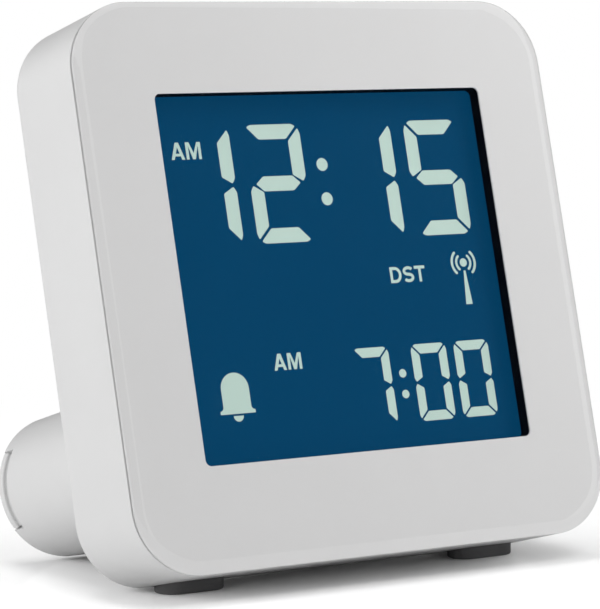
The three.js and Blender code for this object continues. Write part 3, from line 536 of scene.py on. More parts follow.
def frontPrint():
    outer = bodyOutline(printSheet["inset"])
    inner = roundedRectangle(
        -window["half"], window["half"], window["bottom"], window["top"], window["corner"],
        body["cornerSteps"])
    return windowedSheet(outer, inner, printSheet["near"], printSheet["far"])


# Black wall between the print and the recessed display, which it frames with its rim
gasket = {"rim": 1.4, "front": 1.78, "back": 3.56}


def lcdGasket():
    return windowedSheet(windowOutline(gasket["rim"]), windowOutline(0), gasket["front"], gasket["back"])


# Display glass: a thin block with fine quarter rounds on its front and back edges
def frontGlass():
    def outline(inset):
        return roundedRectangle(
            -glass["half"] + inset, glass["half"] - inset, glass["bottom"] + inset, glass["top"] - inset,
            glass["corner"], steps=5)
    near = quarterRound(0, glass["front"], glass["edge"], 1, steps=4)
    far = quarterRound(0, glass["back"], glass["edge"], -1, steps=4)
    return profileSkin(outline, np.vstack([near, far]))


for name, shape, finish, slot, node in [
        ("clear_panel", frontPanel(), "acrylic", "clear_acrylic", "front_panel"),
        ("printed_border", frontPrint(), "print", "white_print", "front_print"),
        ("window_wall", lcdGasket(), "wall", "black_plastic", "lcd_gasket"),
        ("display_glass", frontGlass(), "blue", "display_glass", "lcd_front_glass")]:
    addPiece(name, meshFrom(name, shape), finishes[finish], stands=[node])
print("front panel, border and display glass")

# Display content: closed loops (across, up) on the glass. A digit is listed with the middles of its cells
# across, and a dot with its place
display = {
    "depth": 3.63, "thickness": 0.02,
    "big": {"height": 16.3, "width": 9.1, "stroke": 2.05, "middle": 51.28},
    "small": {"height": 10.65, "width": 5.93, "stroke": 1.34, "middle": 22.78},
    "bigDigits": {"1": [-18.98, 7.40], "2": [-7.62], "5": [18.78]},
    "smallDigits": {"7": [3.19], "0": [12.87, 20.13]},
    "bigDots": [(-0.14, 53.67), (-0.14, 48.89)], "bigDot": 0.9,
    "smallDots": [(8.03, 24.25), (8.03, 21.38)], "smallDot": 0.59,
}
litSegments = {"0": "abcdef", "1": "bc", "2": "abged", "5": "afgcd", "7": "abc"}

# Ends of the segments, as shares of the stroke: how far an end stands off the digit's diagonal, how low a
# bar's tip lies under its outer edge, how far the tip stands out past it, and the like
segmentEnds = {
    "standOff": 0.146, "tipDrop": 0.16, "tipOut": 0.29, "middleTip": 0.585, "middleReach": 0.0214,
    "outerStart": 0.38, "midGap": 0.107, "midTip": 0.224, "midInner": 0.55, "midOuter": 0.47,
    "ease": 0.09,
}


# A digit's segment, drawn for the upper right of its cell and mirrored to its place
def segmentLoop(letter, size):
    halfWidth, halfHeight, stroke = size["width"] / 2, size["height"] / 2, size["stroke"]
    share = {key: value * stroke for key, value in segmentEnds.items()}
    if letter in "ad":
        tip = halfWidth - share["standOff"] - share["tipDrop"]
        outer = tip - share["tipOut"]
        inner = halfWidth - share["standOff"] - stroke
        drop = halfHeight - share["tipDrop"]
        loop = [(tip, drop), (outer, halfHeight), (-outer, halfHeight), (-tip, drop),
                (-inner, halfHeight - stroke), (inner, halfHeight - stroke)]
    elif letter == "g":
        tip = halfWidth - stroke / 2 + share["middleReach"]
        flat = tip - share["middleTip"]
        loop = [(tip, 0), (flat, stroke / 2), (-flat, stroke / 2), (-tip, 0),
                (-flat, -stroke / 2), (flat, -stroke / 2)]
    else:
        inner = halfWidth - stroke
        tipX = halfWidth - share["standOff"]
        tipZ = halfHeight - share["standOff"] * 2
        loop = [(tipX, tipZ), (halfWidth, tipZ - share["outerStart"]),
                (halfWidth, share["midOuter"]), (halfWidth - share["midTip"], share["midGap"]),
                (inner, share["midInner"]), (inner, halfHeight - share["standOff"] - stroke)]
    mirrorX = -1 if letter in "ef" else 1
    mirrorZ = -1 if letter in "cde" else 1
    return np.array(loop) * [mirrorX, mirrorZ]


# Corners of a loop eased by a short curve between a start and an end beside each corner:
# (1 - t)^2 * start + 2 t (1 - t) * corner + t^2 * end. It takes up to 0.4 of a side
def eased(loop, radius, steps=4):
    def beside(neighbour):
        side = neighbour - loop
        length = np.linalg.norm(side, axis=1)[:, None]
        return loop + side / length * np.minimum(radius, length * 0.4)
    start, end = beside(np.roll(loop, 1, 0)), beside(np.roll(loop, -1, 0))
    t = np.linspace(0, 1, steps)[None, :, None]
    curve = (1 - t) ** 2 * start[:, None] + 2 * t * (1 - t) * loop[:, None] + t ** 2 * end[:, None]
    return curve.reshape(-1, 2)


def digitLoops(places, size):
    loops = []
    for digit, centres in places.items():
        for centre in centres:
            for letter in litSegments[digit]:
                loop = eased(segmentLoop(letter, size), size["stroke"] * segmentEnds["ease"])
                loops.append(loop + [centre, size["middle"]])
    return loops


# Stroke of even width: the path shifted by half the width to each side, with round or flat ends
def penStroke(path, width, roundEnds=True):
    along = np.gradient(path, axis=0)
    along /= np.linalg.norm(along, axis=1)[:, None]
    side = columns(-along[:, 1], along[:, 0]) * width / 2
    if not roundEnds:
        return np.vstack([path + side, (path - side)[::-1]])
    turn = np.linspace(math.pi / 2, -math.pi / 2, num=8)[1:-1, None]
    capEnd = path[-1] + side[-1] * np.sin(turn) + along[-1] * np.cos(turn) * width / 2
    capStart = path[0] - side[0] * np.sin(turn) - along[0] * np.cos(turn) * width / 2
    return np.vstack([path + side, capEnd, (path - side)[::-1], capStart])


# Capitals, each drawn in a cell from (0, 0) to its width and height. Their proportions are shares of the
# upright stroke's weight, then of the height, then of the width, and last the ends of the S in degrees
letterShares = {
    "toe": 1.12, "crown": 0.62, "barThick": 0.85, "shoulder": 1.35, "pointHalf": 0.5,
    "barLevel": 0.2, "peak": 0.86, "valley": 0.36, "armpit": 0.8,
    "bulge": 0.55, "upperBowl": (28, 250), "lowerBowl": (70, -152),
}


# A: two legs that lean on each other, with a bar. A leg's inner side stands at toe + slope * level
def letterA(width, height, weight):
    middle = width / 2
    toe, crown = weight * letterShares["toe"], weight * letterShares["crown"]
    barLow = height * letterShares["barLevel"]
    barHigh = barLow + weight * letterShares["barThick"]
    slope = (middle - crown) / height
    innerLow, innerHigh = toe + slope * barLow, toe + slope * barHigh
    peak = min((middle - toe) / slope, height * letterShares["peak"])
    outer = [(0, 0), (middle - crown, height), (middle + crown, height), (width, 0), (width - toe, 0),
             (width - innerLow, barLow), (innerLow, barLow), (toe, 0)]
    counter = [(innerHigh, barHigh), (middle, peak), (width - innerHigh, barHigh)]
    return [outer, counter]


# M: two uprights, with a valley between their shoulders that comes down to a narrow point
def letterM(width, height, weight):
    middle = width / 2
    shoulder, point = weight * letterShares["shoulder"], weight * letterShares["pointHalf"]
    valley, armpit = height * letterShares["valley"], height * letterShares["armpit"]
    return [[(0, 0), (0, height), (shoulder, height), (middle, valley), (width - shoulder, height),
             (width, height), (width, 0), (width - weight, 0), (width - weight, armpit),
             (middle + point, 0), (middle - point, 0), (weight, armpit), (weight, 0)]]


def letterT(width, height, weight):
    left, right, under = (width - weight) / 2, (width + weight) / 2, height - weight
    return [[(0, height), (width, height), (width, under), (right, under), (right, 0), (left, 0),
             (left, under), (0, under)]]


# D: a straight back and half an ellipse, with the same shape one weight smaller as its hole
def letterD(width, height, weight):
    bulge, middle = width * letterShares["bulge"], height / 2
    outer = np.vstack([[(0, 0)], arc(width - bulge, middle, bulge, middle, -90, 90), [(0, height)]])
    inner = np.vstack([
        [(weight, weight)], arc(width - bulge, middle, bulge - weight, middle - weight, -90, 90),
        [(weight, height - weight)]])
    return [outer, inner]


# S: a stroke along two arcs, one above the other
def letterS(width, height, weight):
    reach, rise = (width - weight) / 2, (height - weight) / 4
    upper = arc(width / 2, height / 2 + rise, reach, rise, *letterShares["upperBowl"], steps=22)
    lower = arc(width / 2, height / 2 - rise, reach, rise, *letterShares["lowerBowl"], steps=22)
    return [penStroke(np.vstack([upper, lower]), weight, roundEnds=False)]


letterShapes = {"A": letterA, "M": letterM, "T": letterT, "D": letterD, "S": letterS}


def letterLoops(letter, left, right, bottom, top):
    loops = letterShapes[letter](right - left, top - bottom, marks["weight"])
    return [np.array(loop, float) + [left, bottom] for loop in loops]


# Marks: letters as (letter, left, right, bottom, top), antenna waves as (radius, width, reach in degrees)
marks = {
    "weight": 0.42,
    "letters": [
        ("A", -23.85, -21.75, 54.98, 57.31), ("M", -21.49, -19.14, 54.98, 57.31),
        ("D", 8.38, 10.26, 36.75, 38.98), ("S", 10.55, 12.34, 36.75, 38.98),
        ("T", 12.50, 14.27, 36.75, 38.98),
        ("A", -12.54, -10.55, 25.96, 28.20), ("M", -10.30, -8.08, 25.96, 28.20),
    ],
    "antennaX": 21.03, "antennaZ": 39.05, "antennaDot": 0.6,
    "waves": [(1.20, 0.36, 49), (1.96, 0.38, 46)],
    "mastBottom": 33.16, "mastTop": 37.92, "mastWide": 1.1, "mastNarrow": 0.3,
    "bellX": -19.14, "bellHalf": 2.17, "bellFlare": 2.72, "bellBottom": 20.65, "bellTop": 26.15,
    "bellRim": 0.45, "clapper": 0.78, "clapperTop": 20.38,
}


# Antenna sign: a dot with two waves to each side, on a mast that narrows upwards
def antennaLoops():
    x, z = marks["antennaX"], marks["antennaZ"]
    loops = [circle(x, z, marks["antennaDot"], steps=32)]
    for radius, width, reach in marks["waves"]:
        for middle in (0, 180):
            wave = arc(x, z, radius, radius, middle - reach, middle + reach)
            loops.append(penStroke(wave, width))
    wide, narrow = marks["mastWide"] / 2, marks["mastNarrow"] / 2
    loops.append(np.array([
        (x - wide, marks["mastBottom"]), (x + wide, marks["mastBottom"]),
        (x + narrow, marks["mastTop"]), (x - narrow, marks["mastTop"])]))
    return loops


# Bell: a half round crown, straight sides and a rim that flares in a short hollow curve
def bellLoops():
    x, half, flare = marks["bellX"], marks["bellHalf"], marks["bellFlare"]
    bottom = marks["bellBottom"]
    crown = arc(x, marks["bellTop"] - half, half, half, 0, 180, steps=32)
    rimTop = bottom + marks["bellRim"]
    hollow = flare - half
    left = arc(x - flare, rimTop + hollow, hollow, hollow, 0, -90, steps=8)
    right = arc(x + flare, rimTop + hollow, hollow, hollow, -90, -180, steps=8)
    outline = np.vstack([crown, left, [(x - flare, bottom), (x + flare, bottom)], right])
    clapper = arc(x, marks["clapperTop"], marks["clapper"], marks["clapper"], 180, 360)
    return [outline, clapper]


# Flat loops become one mesh: a filled two-dimensional curve, where a loop inside another is a hole
def flatMesh(name, loops, depth, thickness):
    curve = bpy.data.curves.new(name, "CURVE")
    curve.dimensions = "2D"
    curve.fill_mode = "BOTH"
    curve.extrude = thickness / 2
    for loop in loops:
        spline = curve.splines.new("POLY")
        spline.points.add(len(loop) - 1)
        spline.points.foreach_set("co", columns(*loop.T, 0, 1).ravel())
        spline.use_cyclic_u = True
    holder = newObject(name, curve)
    graph = bpy.context.evaluated_depsgraph_get()
    mesh = bpy.data.meshes.new_from_object(holder.evaluated_get(graph))
    bpy.data.objects.remove(holder)
    bpy.data.curves.remove(curve)
    points = np.zeros(len(mesh.vertices) * 3)
    mesh.vertices.foreach_get("co", points)
    points = points.reshape(-1, 3)
    leaning = columns(points[:, 0], depth - points[:, 2], points[:, 1])
    mesh.vertices.foreach_set("co", leaningToObject(leaning).ravel())
    mesh.update()
    return mesh


timeLoops = digitLoops(display["bigDigits"], display["big"])
timeLoops += [circle(x, z, display["bigDot"], steps=40) for x, z in display["bigDots"]]
alarmLoops = digitLoops(display["smallDigits"], display["small"])
alarmLoops += [circle(x, z, display["smallDot"], steps=32) for x, z in display["smallDots"]]
markLoops = antennaLoops() + bellLoops()
for letter in marks["letters"]:
    markLoops += letterLoops(*letter)
displayLoops = {"time_digits": timeLoops, "alarm_digits": alarmLoops, "display_marks": markLoops}
for name, loops in displayLoops.items():
    addPiece(name, flatMesh(name, loops, display["depth"], display["thickness"]), finishes["segment"])
print("display content:", sum(map(len, displayLoops.values())), "loops")


# Housing: one profile runs from the floor inside, up the inner wall, over the rim and round the back edge
def shellTray():
    wall, rim = body["wall"], body["rimEdge"]
    turn = quarterTurn(steps=4)
    innerRim = columns(wall - rim * (1 - np.cos(turn)), body["shellFront"] + rim * (1 - np.sin(turn)))
    profile = np.vstack([
        quarterRound(wall, body["innerBack"], body["innerFillet"], -1, steps=5)[::-1],
        innerRim,
        quarterRound(0, body["shellFront"], rim, 1, steps=5),
        quarterRound(0, body["depth"], body["backEdge"], -1, steps=14),
    ])
    return profileSkin(bodyOutline, profile)


# The foot's pill, made smaller all round by the inset
def footOutline(inset):
    return pill(foot["half"], foot["radius"] - inset, 0, foot["centre"], foot["endSteps"])


# Foot: widens a little towards the body and runs into it over a small hollow fillet
def footTube():
    near = body["depth"]
    turn = quarterTurn(steps=7)
    widest = (foot["rear"] - near) * math.tan(foot["draft"])
    fillet = columns(
        -widest - foot["fillet"] * (1 - np.sin(turn)), near + foot["fillet"] * (1 - np.cos(turn)))
    profile = np.vstack([
        [[-widest - foot["fillet"], near - past]], fillet,
        quarterRound(0, foot["rear"], foot["rim"], -1, steps=7)])
    return profileSkin(footOutline, profile)


# Bay: the hollow of the foot, opening with a small round at its mouth
def bayHollow():
    inner, edge = foot["wall"], foot["innerEdge"]
    return profileSkin(footOutline, np.vstack([
        quarterRound(inner, foot["bayFloor"], foot["floorRound"], 1, steps=4),
        easedEnd(inner, foot["rear"], edge, steps=6),
        [[inner - edge, foot["rear"] + past]]]))


# Wedge that opens sideways from the middle of the foot's round end
def notchWedge(side, near, far):
    middle = 0 if side > 0 else 180
    reach = math.degrees(foot["notchAngle"])
    centre = side * foot["half"]
    rim = arc(centre, foot["centre"], 2 * foot["radius"], 2 * foot["radius"],
              middle - reach, middle + reach, steps=9)
    return prism(np.vstack([[(centre, foot["centre"])], rim]), near, far)


# A round opening cut from the back, whose edge is eased by a small quarter round
def easedHole(x, z, radius, near, edge, steps=40):
    back = body["depth"]
    mouth = easedEnd(radius, back, edge, steps=6, way=1)
    return turned(x, z, np.vstack([[[radius, near]], mouth, [[radius + edge, back + past]]]), steps)


bay = {
    "ribPitch": 14, "ribHalf": 0.6, "ribLow": 5.55, "ribHigh": 8.38, "ribFar": 37.3,
    "partitionInner": 26.25, "partitionOuter": 27.65, "rooted": 0.02, "tongue": 5.33, "tongueBack": 40.5,
}
screws = {
    "places": [(x, z) for z in (33.49, 67.5) for x in (-32.45, 32.45)],
    "bossRadius": 3.7, "bossFront": 8.85, "bossFloor": 10.65, "headHole": 2.4, "mouth": 0.2,
    "shankHole": 1.4,
}
buttons = {
    "row": 37.5, "places": [-18, -6, 6, 18], "radius": 3, "gap": 0.3, "mouth": 0.15, "proud": 0.7,
    "edge": 0.5, "crown": 0.15, "crownMiddle": 0.04, "collar": 0.9, "collarFront": 15.1,
    "collarBack": 16.1, "stem": 1.3, "stemEnd": 12.85,
}
knob = {
    "x": -17.5, "z": 49.5, "half": 2.2, "rise": 2, "corner": 0.5, "edge": 0.3, "top": 19.2,
    "travel": 3, "gap": 0.3, "slotCorner": 0.6, "mouth": 0.15, "pitch": 1.2, "groove": 0.2,
    "grooveDepth": 0.35, "flangeFront": 15, "flangeBack": 16.1, "flangeRise": 3, "flangeLap": 1,
}
sound = {"x": 16, "z": 49.5, "hole": 0.75, "mouth": 0.15, "pitch": 2.9, "count": 6}
snooze = {
    "half": 17.7, "radius": 4, "deep": 10.2, "gap": 0.3, "mouth": 0.15, "top": 76.8, "edge": 0.8,
    "flatRim": 0.4, "flangeTop": 73.7, "flangeBottom": 72.7, "flange": 1.5,
    "legHalf": 2.5, "legNear": 10.75, "legFar": 13.15, "legBottom": 72.3,
}


# Bay's inner walls: three pairs of ribs over and under the cells, and at each end a partition for the
# contacts, with a tongue that stands further back
def batteryBay():
    ribs = []
    front = foot["bayFloor"] - sunk
    for x in (-bay["ribPitch"], 0, bay["ribPitch"]):
        for side in (-1, 1):
            ends = sorted([foot["centre"] + side * bay["ribLow"], foot["centre"] + side * bay["ribHigh"]])
            ribs.append(block(x - bay["ribHalf"], x + bay["ribHalf"], front, bay["ribFar"], *ends))
    walls, tongues = [], []
    reach = foot["radius"] - foot["wall"] + bay["rooted"]
    for side in (-1, 1):
        ends = sorted([side * bay["partitionInner"], side * bay["partitionOuter"]])
        walls.append(block(*ends, front, bay["ribFar"], foot["centre"] - reach, foot["centre"] + reach))
        tongues.append(block(*ends, front, bay["tongueBack"],
                             foot["centre"] - bay["tongue"], foot["centre"] + bay["tongue"]))
    return together(*ribs, *walls), together(*tongues)


# One hole in the middle and a ring of others, at centre + pitch * (cos, sin)
def soundHolePlaces():
    angles = np.arange(sound["count"]) * 2 * math.pi / sound["count"]
    ring = [(sound["x"] + sound["pitch"] * math.cos(angle), sound["z"] + sound["pitch"] * math.sin(angle))
            for angle in angles]
    return [(sound["x"], sound["z"]), *ring]


# Slot of the alarm switch: a rounded rectangle as long as the knob and its travel, eased at the back
def switchSlot():
    middle = knob["x"] + knob["travel"] / 2
    half = knob["half"] + knob["travel"] / 2 + knob["gap"]
    rise = knob["rise"] + knob["gap"]
    back, edge = body["depth"], knob["mouth"]

    def outline(inset):
        return roundedRectangle(
            middle - half + inset, middle + half - inset,
            knob["z"] - rise + inset, knob["z"] + rise - inset, knob["slotCorner"] - inset, steps=8)
    return profileSkin(outline, np.vstack([
        [[0, body["innerBack"] - past]], easedEnd(0, back, edge, steps=5), [[-edge, back + past]]]))


# Pieces that stand up the body: a pill in the across-deep plane carried up the face
def uprightPill(profile):
    outlines = [pill(snooze["half"], snooze["radius"] - inset, 0, 0, steps=28) for inset, level in profile]
    return skin(np.stack([
        columns(outline[:, 0], snooze["deep"] + outline[:, 1], level)
        for outline, (inset, level) in zip(outlines, profile)]))


def snoozeSlot():
    top, gap, edge = body["height"], snooze["gap"], snooze["mouth"]
    return uprightPill(np.vstack([
        [[-gap, top - body["wall"] - past]], easedEnd(-gap, top, edge, steps=5),
        [[-gap - edge, top + past]]]))


# Pads stand upright under the leaning body, so their pockets are drawn in the object's own millimetres
padNames = ["body_pad_left", "body_pad_right", "foot_pad_left", "foot_pad_right"]
pad = {"half": 2.6, "radius": 2.4, "edge": 0.25, "edgeShare": 0.3, "sink": 0.9, "gap": 0.3}


# Pad: a pill that widens over a short edge at the floor and ends in the slanting ceiling of its pocket, at
# ceiling * cos - deep * sin. The pocket is the same shape, grown all round, without that edge
def padShape(name, growth=0.0, edge=0.0):
    low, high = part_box(name)
    x, y = (low.x + high.x) * 500, (low.y + high.y) * 500
    ceiling = (0 if name.startswith("body") else foot["centre"] - foot["radius"]) + pad["sink"] + growth
    bevel = edge * pad["edgeShare"]
    outlines = [pill(pad["half"], pad["radius"] + growth - inset, x, y, steps=20)
                for inset in (edge, bevel, 0, 0)]
    levels = np.array([0, bevel, edge]) - growth
    rings = [columns(*outline.T, level) for outline, level in zip(outlines, levels)]
    deep = (outlines[-1][:, 1] - originY - ceiling * leanSin) / leanCos
    rings.append(columns(*outlines[-1].T, originZ + ceiling * leanCos - deep * leanSin))
    return skin(np.stack(rings))


# Object millimetres back to leaning ones, for pockets that are cut with the rest: deep is
# y * cos - z * sin, and up is y * sin + z * cos
def objectToLeaning(points):
    y, z = points[:, 1] - originY, points[:, 2] - originZ
    return columns(points[:, 0], y * leanCos - z * leanSin, y * leanSin + z * leanCos)


def padPocket(name):
    points, faces = padShape(name, pad["gap"])
    return objectToLeaning(points), faces


# Housing: tray, foot and bosses are joined, and the bay, holes, slots and pockets are cut
def housing():
    ribs, tongues = batteryBay()
    inside, rear = body["innerBack"] - past, foot["rear"]
    bossEnds = [screws["bossFront"], body["depth"] - past]
    shankEnds = [screws["bossFront"] - past, screws["bossFloor"] + past]
    bosses = [turned(x, z, [[screws["bossRadius"], end] for end in bossEnds]) for x, z in screws["places"]]
    shanks = [turned(x, z, [[screws["shankHole"], end] for end in shankEnds], steps=20)
              for x, z in screws["places"]]
    holes = [easedHole(x, z, screws["headHole"], screws["bossFloor"], screws["mouth"])
             for x, z in screws["places"]]
    wide = buttons["radius"] + buttons["gap"]
    holes += [easedHole(x, buttons["row"], wide, inside, buttons["mouth"], steps=56)
              for x in buttons["places"]]
    holes += [easedHole(x, z, sound["hole"], inside, sound["mouth"], steps=24)
              for x, z in soundHolePlaces()]
    notches = [notchWedge(side, rear - foot["notchDepth"], rear + past) for side in (-1, 1)]
    return worked("housing", shellTray(), [
        ("UNION", footTube()),
        ("DIFFERENCE", bayHollow()),
        ("UNION", ribs),
        ("UNION", tongues),
        ("DIFFERENCE", together(*notches)),
        ("UNION", together(*bosses)),
        ("DIFFERENCE", together(*holes, switchSlot(), snoozeSlot())),
        ("DIFFERENCE", together(*shanks)),
        ("DIFFERENCE", together(*[padPocket(name) for name in padNames])),
    ])


addPiece("housing", housing(), finishes["shell"], stands=["rear_shell"])
print("housing with its foot")

# Battery cover: a plate and skirt in the bay's mouth. At each notch a lip reaches out to the foot's skin,
# with a lower land in front of it
cover = {
    "gap": 0.3, "inner": 41.3, "skirtFront": 37.6, "skirtWall": 1.2, "skirtEdge": 0.3, "edge": 0.25,
    "lipGap": 0.1, "lip": 1.65, "land": 0.6, "landEdge": 0.12,
    "ribX": 14, "ribHalf": 0.6, "ribRise": 4, "ribFront": 40.3,
}


def coverPlate(radius):
    profile = np.vstack([
        [[cover["skirtWall"], cover["inner"]], [cover["skirtWall"], cover["skirtFront"]]],
        quarterRound(0, cover["skirtFront"], cover["skirtEdge"], 1, steps=4),
        quarterRound(0, foot["rear"], cover["edge"], -1, steps=6)])
    return profileSkin(
        lambda inset: pill(foot["half"], radius - inset, 0, foot["centre"], foot["endSteps"]), profile)


# Lip and land: a profile of (radius, depth) pairs swept over the notch's angles, at
# the round end's centre + radius * (cos, sin)
def coverLip(side, root):
    reach = foot["notchAngle"] - cover["gap"] / foot["radius"]
    angles = (0 if side > 0 else math.pi) + np.linspace(-reach, reach, num=41)
    tip, land, soft = foot["radius"] - cover["lipGap"], foot["radius"] - cover["land"], cover["landEdge"]
    landFront = foot["rear"] - foot["notchDepth"] + cover["gap"]
    lipFront = foot["rear"] - cover["lip"]
    profile = np.vstack([
        [[root, landFront], [land - soft, landFront], [land, landFront + soft], [land, lipFront - soft],
         [land + soft, lipFront], [tip - soft, lipFront], [tip, lipFront + soft]],
        quarterRound(0, foot["rear"], foot["rim"], -1, steps=7) * [-1, 1] + [tip, 0],
        [[root, foot["rear"]]]])
    radius, depth = profile[:, :1], profile[:, 1:]
    sector = columns(side * foot["half"] + radius * np.cos(angles), depth,
                     foot["centre"] + radius * np.sin(angles))
    return skin(sector.transpose(1, 0, 2))


def batteryCover():
    radius = foot["radius"] - foot["wall"] - cover["gap"]
    lips = [coverLip(side, radius - cover["skirtWall"] / 2) for side in (-1, 1)]
    ribs = [block(x - cover["ribHalf"], x + cover["ribHalf"], cover["ribFront"], cover["inner"] + sunk,
                  foot["centre"] - cover["ribRise"], foot["centre"] + cover["ribRise"])
            for x in (-cover["ribX"], cover["ribX"])]
    return worked("battery_cap", coverPlate(radius), [("UNION", together(*lips, *ribs))])


addPiece("battery_cap", batteryCover(), finishes["cover"], bodyName="cover", stands=["battery_cover"])


# Snooze bar: a pill with well rounded top edges over its hidden flange
def snoozeBar():
    cap = np.vstack([
        [[0, snooze["flangeTop"] - sunk]], quarterRound(0, snooze["top"], snooze["edge"], -1, steps=9),
        [[snooze["edge"] + snooze["flatRim"], snooze["top"]]]])
    flange = [[-snooze["flange"], snooze["flangeBottom"]], [-snooze["flange"], snooze["flangeTop"]]]
    leg = block(-snooze["legHalf"], snooze["legHalf"], snooze["legNear"], snooze["legFar"],
                snooze["legBottom"], snooze["flangeBottom"] + sunk)
    return worked("snooze_button", uprightPill(cap), [
        ("UNION", uprightPill(np.array(flange))), ("UNION", leg)])


addPiece("snooze_button", snoozeBar(), finishes["button"], bodyName="snooze", stands=["snooze_bar"])


# Set button: turned, with a quarter round edge and a dome that rises by crown * (1 - share^2) at each share
# of its radius
def setButton(x):
    top, radius, edge = body["depth"] + buttons["proud"], buttons["radius"], buttons["edge"]
    share = np.linspace(1, buttons["crownMiddle"], num=9)[1:]
    dome = columns((radius - edge) * share, top + buttons["crown"] * (1 - share ** 2))
    collar = radius + buttons["collar"]
    return turned(x, buttons["row"], np.vstack([
        [[buttons["stem"], buttons["stemEnd"]], [buttons["stem"], buttons["collarFront"]],
         [collar, buttons["collarFront"]], [collar, buttons["collarBack"]],
         [radius, buttons["collarBack"]]],
        easedEnd(radius, top, edge, steps=9), dome]), steps=56)


for order, x in enumerate(buttons["places"], 1):
    addPiece(f"button_{order}", meshFrom(f"button_{order}", setButton(x)), finishes["button"],
             bodyName=f"button_{order}", stands=[f"set_button_{order}"])


# Knob: a rounded block with three grooves across its top and a hidden flange
def alarmKnob():
    def outline(inset):
        return roundedRectangle(
            knob["x"] - knob["half"] + inset, knob["x"] + knob["half"] - inset,
            knob["z"] - knob["rise"] + inset, knob["z"] + knob["rise"] - inset, knob["corner"], steps=8)
    cap = profileSkin(outline, np.vstack([
        [[0, knob["flangeBack"] - sunk]], quarterRound(0, knob["top"], knob["edge"], -1, steps=7)]))
    reach = knob["half"] + knob["travel"] + knob["flangeLap"]
    flange = block(knob["x"] - reach, knob["x"] + reach, knob["flangeFront"], knob["flangeBack"],
                   knob["z"] - knob["flangeRise"], knob["z"] + knob["flangeRise"])
    radius, high = knob["groove"], knob["top"] + past
    turn = np.linspace(math.pi, 2 * math.pi, num=9)
    grooves = []
    for step in (-1, 0, 1):
        x = knob["x"] + step * knob["pitch"]
        bottom = around(x, knob["top"] - knob["grooveDepth"] + radius, radius, radius, turn)
        section = np.vstack([bottom, [(x + radius, high), (x - radius, high)]])
        ends = [columns(*section.T, z)
                for z in (knob["z"] - 2 * knob["rise"], knob["z"] + 2 * knob["rise"])]
        grooves.append(skin(np.stack(ends)))
    return worked("alarm_knob", cap, [("UNION", flange), ("DIFFERENCE", together(*grooves))])


addPiece("alarm_knob", alarmKnob(), finishes["button"], bodyName="alarm_switch",
         stands=["alarm_switch_knob"])

# Pan-head screws in their deep holes. The dome is a quarter of an ellipse round a small flat top, and the
# recess is one plus-shaped prism
screwHead = {
    "radius": 2, "seat": 10.95, "height": 1.5, "flat": 0.25, "domeShare": 0.55, "shank": 1, "tip": 4.1,
    "point": 0.5, "pointLength": 0.8, "crossHalf": 1.2, "crossWide": 0.25, "crossDeep": 0.9,
}


def housingScrew(name, x, z):
    radius, seat, flat, shank = (screwHead[key] for key in ("radius", "seat", "flat", "shank"))
    top = seat + screwHead["height"]
    rise = screwHead["height"] * screwHead["domeShare"]
    dome = around(flat, top - rise, radius - flat, rise, quarterTurn(steps=9))
    turnedScrew = turned(x, z, np.vstack([
        [[screwHead["point"], screwHead["tip"]], [shank, screwHead["tip"] + screwHead["pointLength"]],
         [shank, seat], [radius, seat]], dome]), steps=40)
    arm, slit = screwHead["crossHalf"], screwHead["crossWide"]
    quarter = np.array([(slit, slit), (slit, arm), (-slit, arm)])
    quarters = [quarter, quarter[:, ::-1] * [-1, 1], -quarter, quarter[:, ::-1] * [1, -1]]
    cross = np.vstack(quarters) + [x, z]
    recess = prism(cross, top - screwHead["crossDeep"], top + past)
    return worked(name, turnedScrew, [("DIFFERENCE", recess)])


for order, (x, z) in enumerate(screws["places"], 1):
    name = f"back_screw_{order}"
    addPiece(name, housingScrew(name, x, z), finishes["steel"],
             stands=[f"housing_screw_{order}"])

for name in padNames:
    mesh = meshFrom(name + "_soft", padShape(name, 0.0, pad["edge"]), placed=lambda points: points / 1000)
    addPiece(name + "_soft", mesh, finishes["rubber"], stands=[name])

# Cells: turned about X, with the rolled edges of the sleeve, the nub and the dished base
cells = {
    "radius": 5.25, "length": 44.5, "nub": 1.9, "nubHeight": 0.9, "nubEdge": 0.3, "edge": 0.6,
    "dish": 3.5, "dishDeep": 0.2, "steps": 56,
    "inner": {"deep": 23.95, "tip": 24.25, "way": 1}, "outer": {"deep": 34.75, "tip": -24.25, "way": -1},
}


# Rings of radius * (cos, sin) round the cell's axis, along from its tip
def cellShape(place):
    radius, edge, nub, deep = cells["radius"], cells["edge"], cells["nub"], cells["dishDeep"]
    shoulder = cells["length"] - cells["nubHeight"]
    turn = quarterTurn(steps=7)
    base = columns(radius - edge + edge * np.sin(turn), edge - edge * np.cos(turn))
    profile = np.vstack([
        [[cells["dish"] - deep, deep], [cells["dish"], 0]], base, easedEnd(radius, shoulder, edge, steps=7),
        [[nub + edge, shoulder - deep], [nub, shoulder - deep]],
        easedEnd(nub, cells["length"], cells["nubEdge"], steps=7)])
    angles = np.arange(cells["steps"]) * 2 * math.pi / cells["steps"]
    along = place["tip"] - place["way"] * (cells["length"] - profile[:, 1])
    reach = profile[:, :1]
    return skin(columns(along[:, None], place["deep"] + reach * np.cos(angles),
                        foot["centre"] + reach * np.sin(angles)))


for side in ("inner", "outer"):
    addPiece(f"cell_{side}", meshFrom(f"cell_{side}", cellShape(cells[side])), finishes["sleeve"],
             stands=[f"battery_cell_{side}"])
print("cover, bar, buttons, knob, screws, pads and cells")

# Studio: floor, white surroundings, soft lamps and the camera. The floor is plain near the clock and clears
# to white between two distances from it, in metres, for what the camera sees
studio = {
    "floorRadius": 3.0, "clearFrom": 0.09, "clearTo": 0.18, "floorGain": 1.08, "floorPlain": 0.62,
    "floorGloss": 0.16, "glossRough": 0.08, "ambient": 0.42, "cardLevel": 0.04,
}


